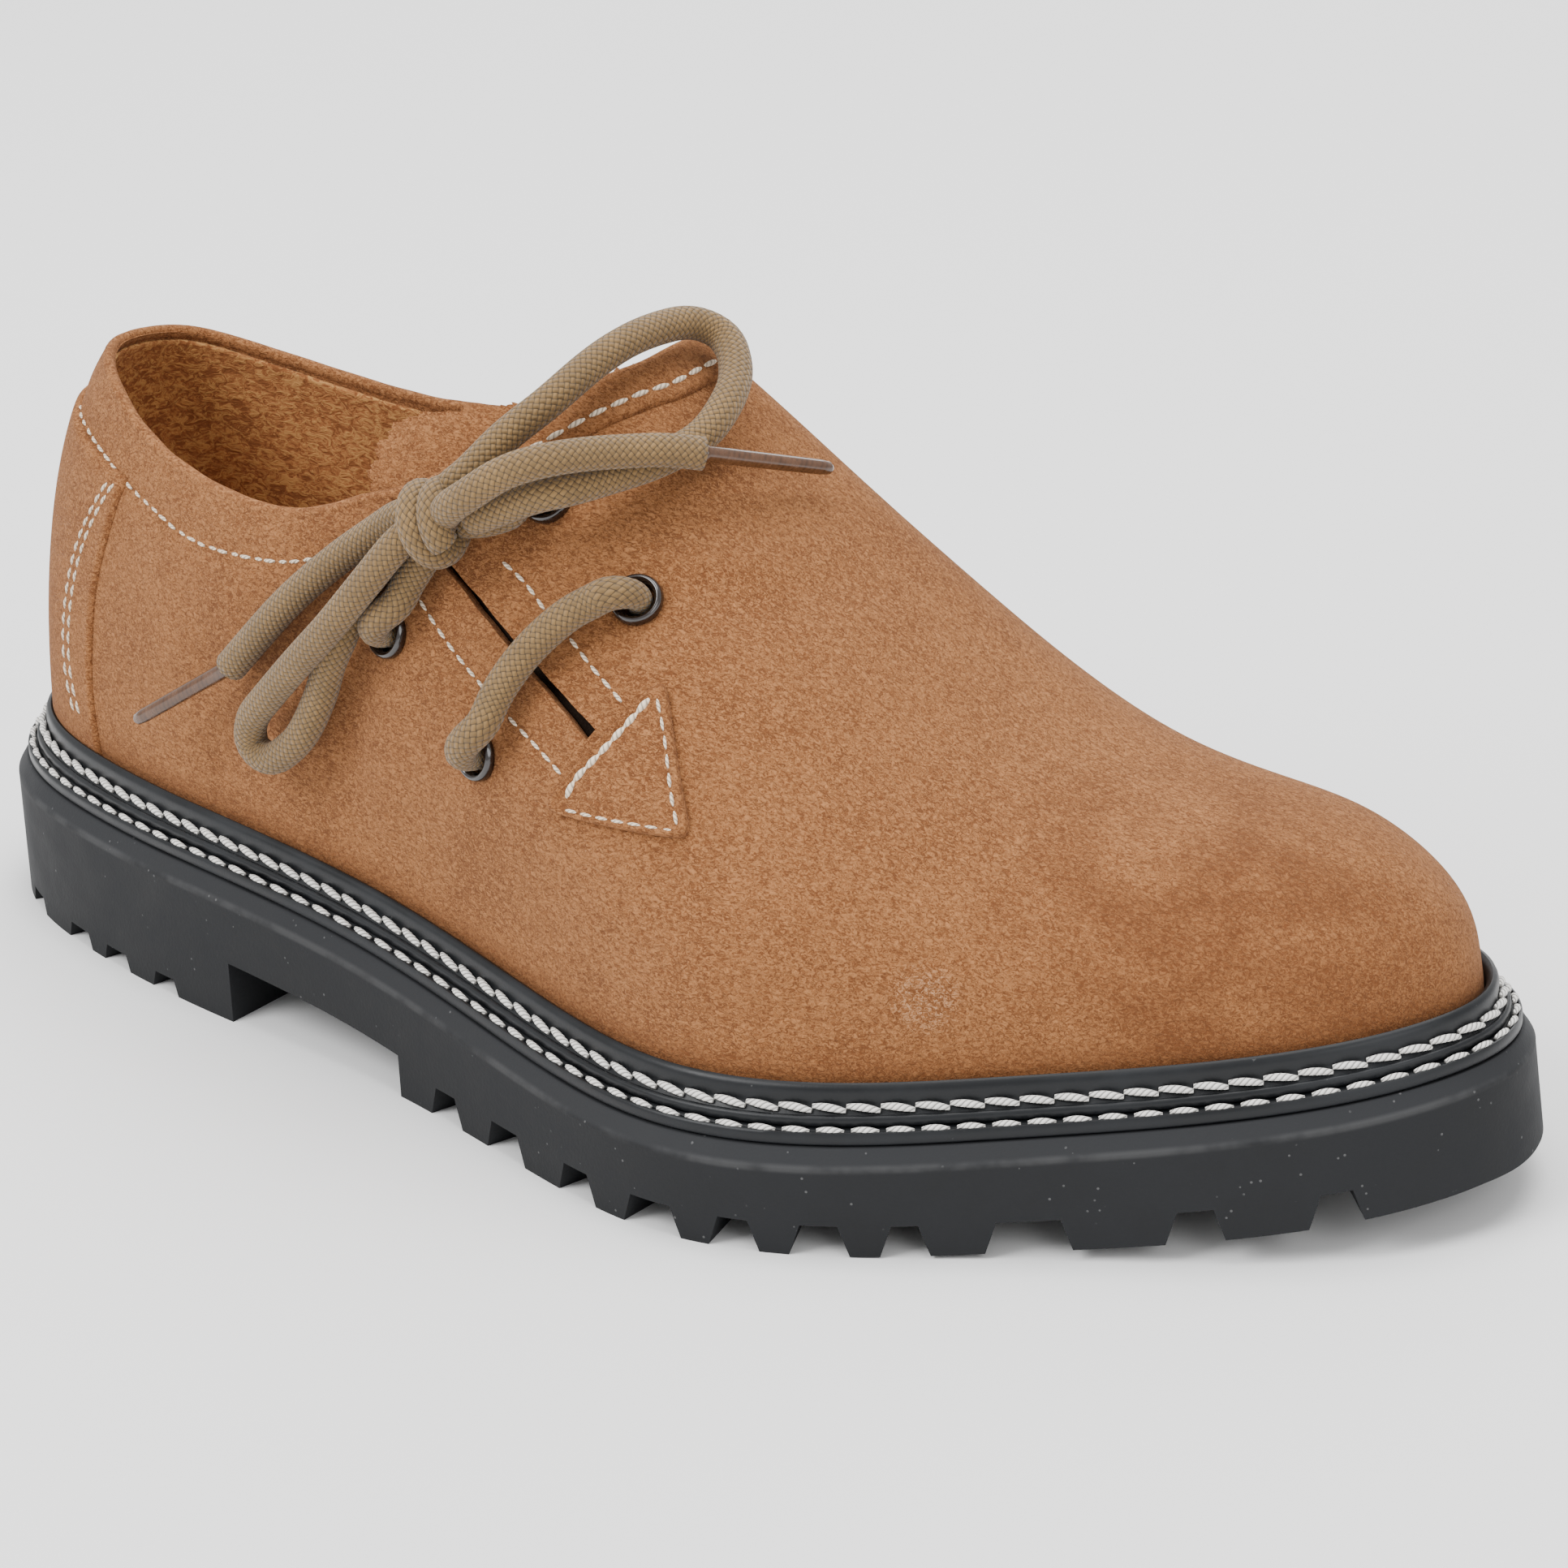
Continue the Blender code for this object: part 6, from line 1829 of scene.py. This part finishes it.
class HAFERL_OT_welt(bpy.types.Operator):
    """Storm welt, runner, and the two rows of thick thread"""

    bl_idname = "haferl.welt"
    bl_label = "Welt"

    def execute(self, context):
        self.band()
        self.runner()
        self.rows(context.scene.haferl_sizes)
        return {"FINISHED"}

    def band(self):
        """The welt's closed profile: inset from the outline, height over the bevel's edge."""
        top = RAND_BASE + RAND_FLANGE
        profile = (
            (LIP_FOOT + LIP_THICK, RAND_BASE),
            (RAND_INSET + 0.0002, RAND_BASE),
            (RAND_INSET, RAND_BASE + 0.0003),
            (RAND_INSET, RAND_BASE + 0.0011),
            (RAND_INSET + 0.0002, RAND_BASE + 0.0015),
            (RAND_INSET + 0.0006, RAND_BASE + 0.0017),
            (RAND_INSET + 0.0009, RAND_BASE + 0.0016),
            (RAND_INSET + 0.0012, RAND_BASE + 0.0019),
            (LIP_FOOT - 0.0005, top),
            (LIP_FOOT - 0.0001, top + 0.0003),
            (LIP_FOOT, top + 0.0010),
            (LIP_FOOT - 0.0001, top + 0.0022),
            (LIP_FOOT, LIP_TOP - 0.0010),
            (LIP_FOOT + 0.0003, LIP_TOP - 0.0003),
            (LIP_FOOT + 0.0009, LIP_TOP),
            (LIP_FOOT + 0.0015, LIP_TOP - 0.0003),
            (LIP_FOOT + LIP_THICK, LIP_TOP - 0.0009),
        )
        rings = [ring(inset, lambda x, up=up: level(x) + up, 300) for inset, up in profile]
        piece = layered("welt_band", rings, welt_black(), closed_ring=True, sharp=50)
        register_piece(piece, "storm_welt", slot="welt")

    def runner(self):
        """The thin runner, its top hollowed by a channel between two fine rims."""
        base, top = MIDSOLE_BASE, MIDSOLE_BASE + MIDSOLE_THICK
        profile = (
            (MIDSOLE_INSET + 0.0002, base),
            (MIDSOLE_INSET, base + 0.0003),
            (MIDSOLE_INSET, top - 0.0006),
            (MIDSOLE_INSET + 0.0002, top - 0.0001),
            (MIDSOLE_INSET + 0.0005, top),
            (MIDSOLE_INSET + 0.0007, top - 0.0004),
            (RAND_INSET, top - 0.0005),
            (RAND_INSET + 0.0004, top - 0.0001),
            (RAND_INSET + 0.0010, top),
        )
        rings = [ring(inset, lambda x, up=up: level(x) + up, 300) for inset, up in profile]
        piece = layered("welt_runner", rings, welt_black(), sharp=50)
        register_piece(piece, "midsole", slot="welt")

    def rows(self, sizes):
        """Chain-like inner row at the lip's foot, and the outer row in its channel."""
        lip_foot = RAND_BASE + RAND_FLANGE + 0.0003
        ledge = MIDSOLE_BASE + MIDSOLE_THICK - 0.0001
        # name, inset, height, stitch, gap, thread radius, arch, turn
        rows = (
            ("thread_inner", LIP_FOOT - 0.0006, lip_foot, sizes.chain_long, 0.0, 0.00064, 0.0005, -0.15),
            ("thread_outer", MIDSOLE_INSET + 0.0012, ledge, sizes.lock_long, 0.0011, 0.00055, 0.0006, -0.05),
        )
        for name, inset, up, long, gap, radius, arch, turn in rows:
            path = ring(inset, lambda x, up=up: level(x) + up, 900)
            path = np.vstack([path, path[:1]])
            tau = np.append(np.arange(1800) / 900, 0.0)
            wide = ring(inset - 0.001, lambda x, up=up: level(x) + up, 900)
            out = np.vstack([wide, wide[:1]]) - path
            out /= np.linalg.norm(out, axis=1)[:, None]
            normals = 0.75 * out + np.array((0.0, 0.0, 0.66))
            normals[tau > 2] = normals[0]
            thread = welt_thread()
            seam = stitch_row(name, path, normals, thread, long, gap, radius, arch, 8, turn, 0.1)
            register_piece(seam, slot="welt")


HEEL_GAPS = ((0.058, 0.006), (0.116, 0.0065), (0.157, 0.0065), (0.206, 0.0055))
FORE_GAPS = (
    (0.456, 0.0055), (0.511, 0.0075), (0.574, 0.0060), (0.630, 0.0080), (0.679, 0.0050),
    (0.722, 0.0060), (0.761, 0.0042), (0.815, 0.0100), (0.889, 0.0056), (0.948, 0.0050),
)


class HAFERL_OT_sole(bpy.types.Operator):
    """The lugged outsole: wall, bevel and tread, with arch and gaps cut out"""

    bl_idname = "haferl.sole"
    bl_label = "Sole"

    def execute(self, context):
        rings = [
            ring("tread", tread, 220),
            ring(0.0, lambda x: level(x) - 0.0006, 220),
            ring(0.0, lambda x: level(x) - 0.0002, 220),
            ring(0.0002, lambda x: level(x) + 0.0002, 220),
            ring(BEVEL_IN - 0.0003, lambda x: level(x) + BEVEL_TALL - 0.0005, 220),
            ring(BEVEL_IN, lambda x: level(x) + BEVEL_TALL - 0.0001, 220),
            ring(BEVEL_IN + 0.0004, lambda x: level(x) + BEVEL_TALL, 220),
        ]
        sole = layered("sole_rubber", rings, rubber())
        cut_with(sole, [self.arch(), self.notches(), self.crosses(), self.gutter()])
        bevel = sole.modifiers.new("worn edges", "BEVEL")
        bevel.width = 0.00045
        bevel.segments = 2
        bevel.limit_method = "ANGLE"
        bevel.angle_limit = math.radians(50)
        apply_modifiers(sole)
        sole.data.shade_smooth()
        weigh = sole.modifiers.new("flat faces", "WEIGHTED_NORMAL")
        weigh.weight = 100
        weigh.keep_sharp = False
        apply_modifiers(sole)
        register_piece(sole, "outsole", slot="rubber")
        return {"FINISHED"}

    def arch(self):
        """What lies under the arch, between the heel's breast and the forefoot."""
        start, end = x_at(HEEL_END), x_at(FORE_START)
        roof = [(x, level(x) - ARCH_THICK) for x in np.linspace(start, end, 24)]
        side = [(start, -SOLE_WIDTH / 20), *roof, (end, -SOLE_WIDTH / 20)]
        low = [(x, -SOLE_WIDTH, z) for x, z in side]
        high = [(x, SOLE_WIDTH, z) for x, z in side]
        return cutter_piece("cut_arch", [prism(low, high)])

    def notches(self):
        """A gap between each two edge lugs, wider at the floor than at its roof."""
        prisms = []
        rows = [(gap, HEEL_LUG_DEEP) for gap in HEEL_GAPS] + [(gap, FORE_LUG_DEEP) for gap in FORE_GAPS]
        for (along, wide), deep in rows:
            for outer in (True, False):
                edge, forward, inward = edge_frame(along, outer)
                reach = LUG_REACH + GUTTER_WIDE / 2
                layers = []
                for height, spread in ((deep, 0.5 * wide), (-deep, 0.5 * wide + 0.7 * deep)):
                    corners = []
                    for run, side in ((-reach, -1), (-reach, 1), (reach, 1), (reach, -1)):
                        x, y = edge + inward * run + forward * spread * side
                        corners.append((x, y, float(tread(x)) + height))
                    layers.append(corners)
                prisms.append(prism(layers[1], layers[0]))
        return cutter_piece("cut_notches", prisms)

    def gutter(self):
        """The long groove between the edge lugs and the middle of the tread."""
        near, far = LUG_REACH, LUG_REACH + GUTTER_WIDE

        def roof(x):
            fore = x > x_at((HEEL_END + FORE_START) / 2)
            return tread(x) + np.where(fore, FORE_LUG_DEEP, HEEL_LUG_DEEP)

        def floor(x):
            return tread(x) - HEEL_LUG_DEEP

        rings = [ring(near, roof, 120), ring(far, roof, 120), ring(far, floor, 120), ring(near, floor, 120)]
        return layered("cut_gutter", rings, plain("cutter", (0.5, 0.5, 0.5)), closed_ring=True)

    def crosses(self):
        """The grooves across the middle of the heel and of the forefoot."""
        prisms = []
        bars = [(share, HEEL_LUG_DEEP) for share in (0.085, 0.145, 0.205)]
        bars += [(share, FORE_LUG_DEEP) for share in (0.50, 0.57, 0.64, 0.71, 0.78, 0.85)]
        for along, deep in bars:
            x = float(x_at(along))
            outer, inner = SIDES["tread"]
            low_y = float(np.interp(x, outer[:, 0], outer[:, 1])) + LUG_REACH + GUTTER_WIDE / 2
            high_y = float(np.interp(x, inner[:, 0], inner[:, 1])) - LUG_REACH - GUTTER_WIDE / 2
            layers = []
            for height, half in ((-deep, CROSS_WIDE), (deep, 0.5 * CROSS_WIDE)):
                corners = ((x - half, low_y), (x + half, low_y), (x + half, high_y), (x - half, high_y))
                layers.append([(cx, cy, float(tread(cx)) + height) for cx, cy in corners])
            prisms.append(prism(*layers))
        return cutter_piece("cut_crosses", prisms)


def edge_frame(along, outer):
    """A point of the tread's edge, with the directions along it and inwards."""
    tau = float(np.arccos(np.clip(1 - 2 * along, -1, 1)) / math.pi)
    tau = tau if outer else 2 - tau
    x, y = side_point("tread", np.array([tau - 0.004, tau, tau + 0.004]))
    along_edge = np.array([x[2] - x[0], y[2] - y[0]])
    along_edge /= np.linalg.norm(along_edge)
    return np.array([x[1], y[1]]), along_edge, np.array([-along_edge[1], along_edge[0]])


class HAFERL_PT_panel(bpy.types.Panel):
    """Lists the steps that dress the shoe"""

    bl_idname = "HAFERL_PT_panel"
    bl_label = "Haferl Shoe"
    bl_space_type = "VIEW_3D"
    bl_region_type = "UI"
    bl_category = "Haferl Shoe"

    def draw(self, context):
        for kind in OPERATORS:
            self.layout.operator(kind.bl_idname)
        for group in (context.scene.haferl_sizes, context.scene.haferl_colours):
            for name in group.bl_rna.properties.keys():
                if name not in ("rna_type", "name"):
                    self.layout.prop(group, name)


OPERATORS = (
    HAFERL_OT_stage,
    HAFERL_OT_lace,
    HAFERL_OT_upper,
    HAFERL_OT_overlays,
    HAFERL_OT_tongue,
    HAFERL_OT_inside,
    HAFERL_OT_seams,
    HAFERL_OT_eyelets,
    HAFERL_OT_welt,
    HAFERL_OT_sole,
)
CLASSES = (HaferlColours, HaferlSizes, *OPERATORS, HAFERL_PT_panel)


def register():
    for kind in CLASSES:
        bpy.utils.register_class(kind)
    bpy.types.Scene.haferl_colours = bpy.props.PointerProperty(type=HaferlColours)
    bpy.types.Scene.haferl_sizes = bpy.props.PointerProperty(type=HaferlSizes)


def unregister():
    del bpy.types.Scene.haferl_sizes
    del bpy.types.Scene.haferl_colours
    for kind in reversed(CLASSES):
        bpy.utils.unregister_class(kind)


def main():
    register()
    for kind in OPERATORS:
        group, step = kind.bl_idname.split(".")
        getattr(getattr(bpy.ops, group), step)()


if __name__ == "__main__":
    main()
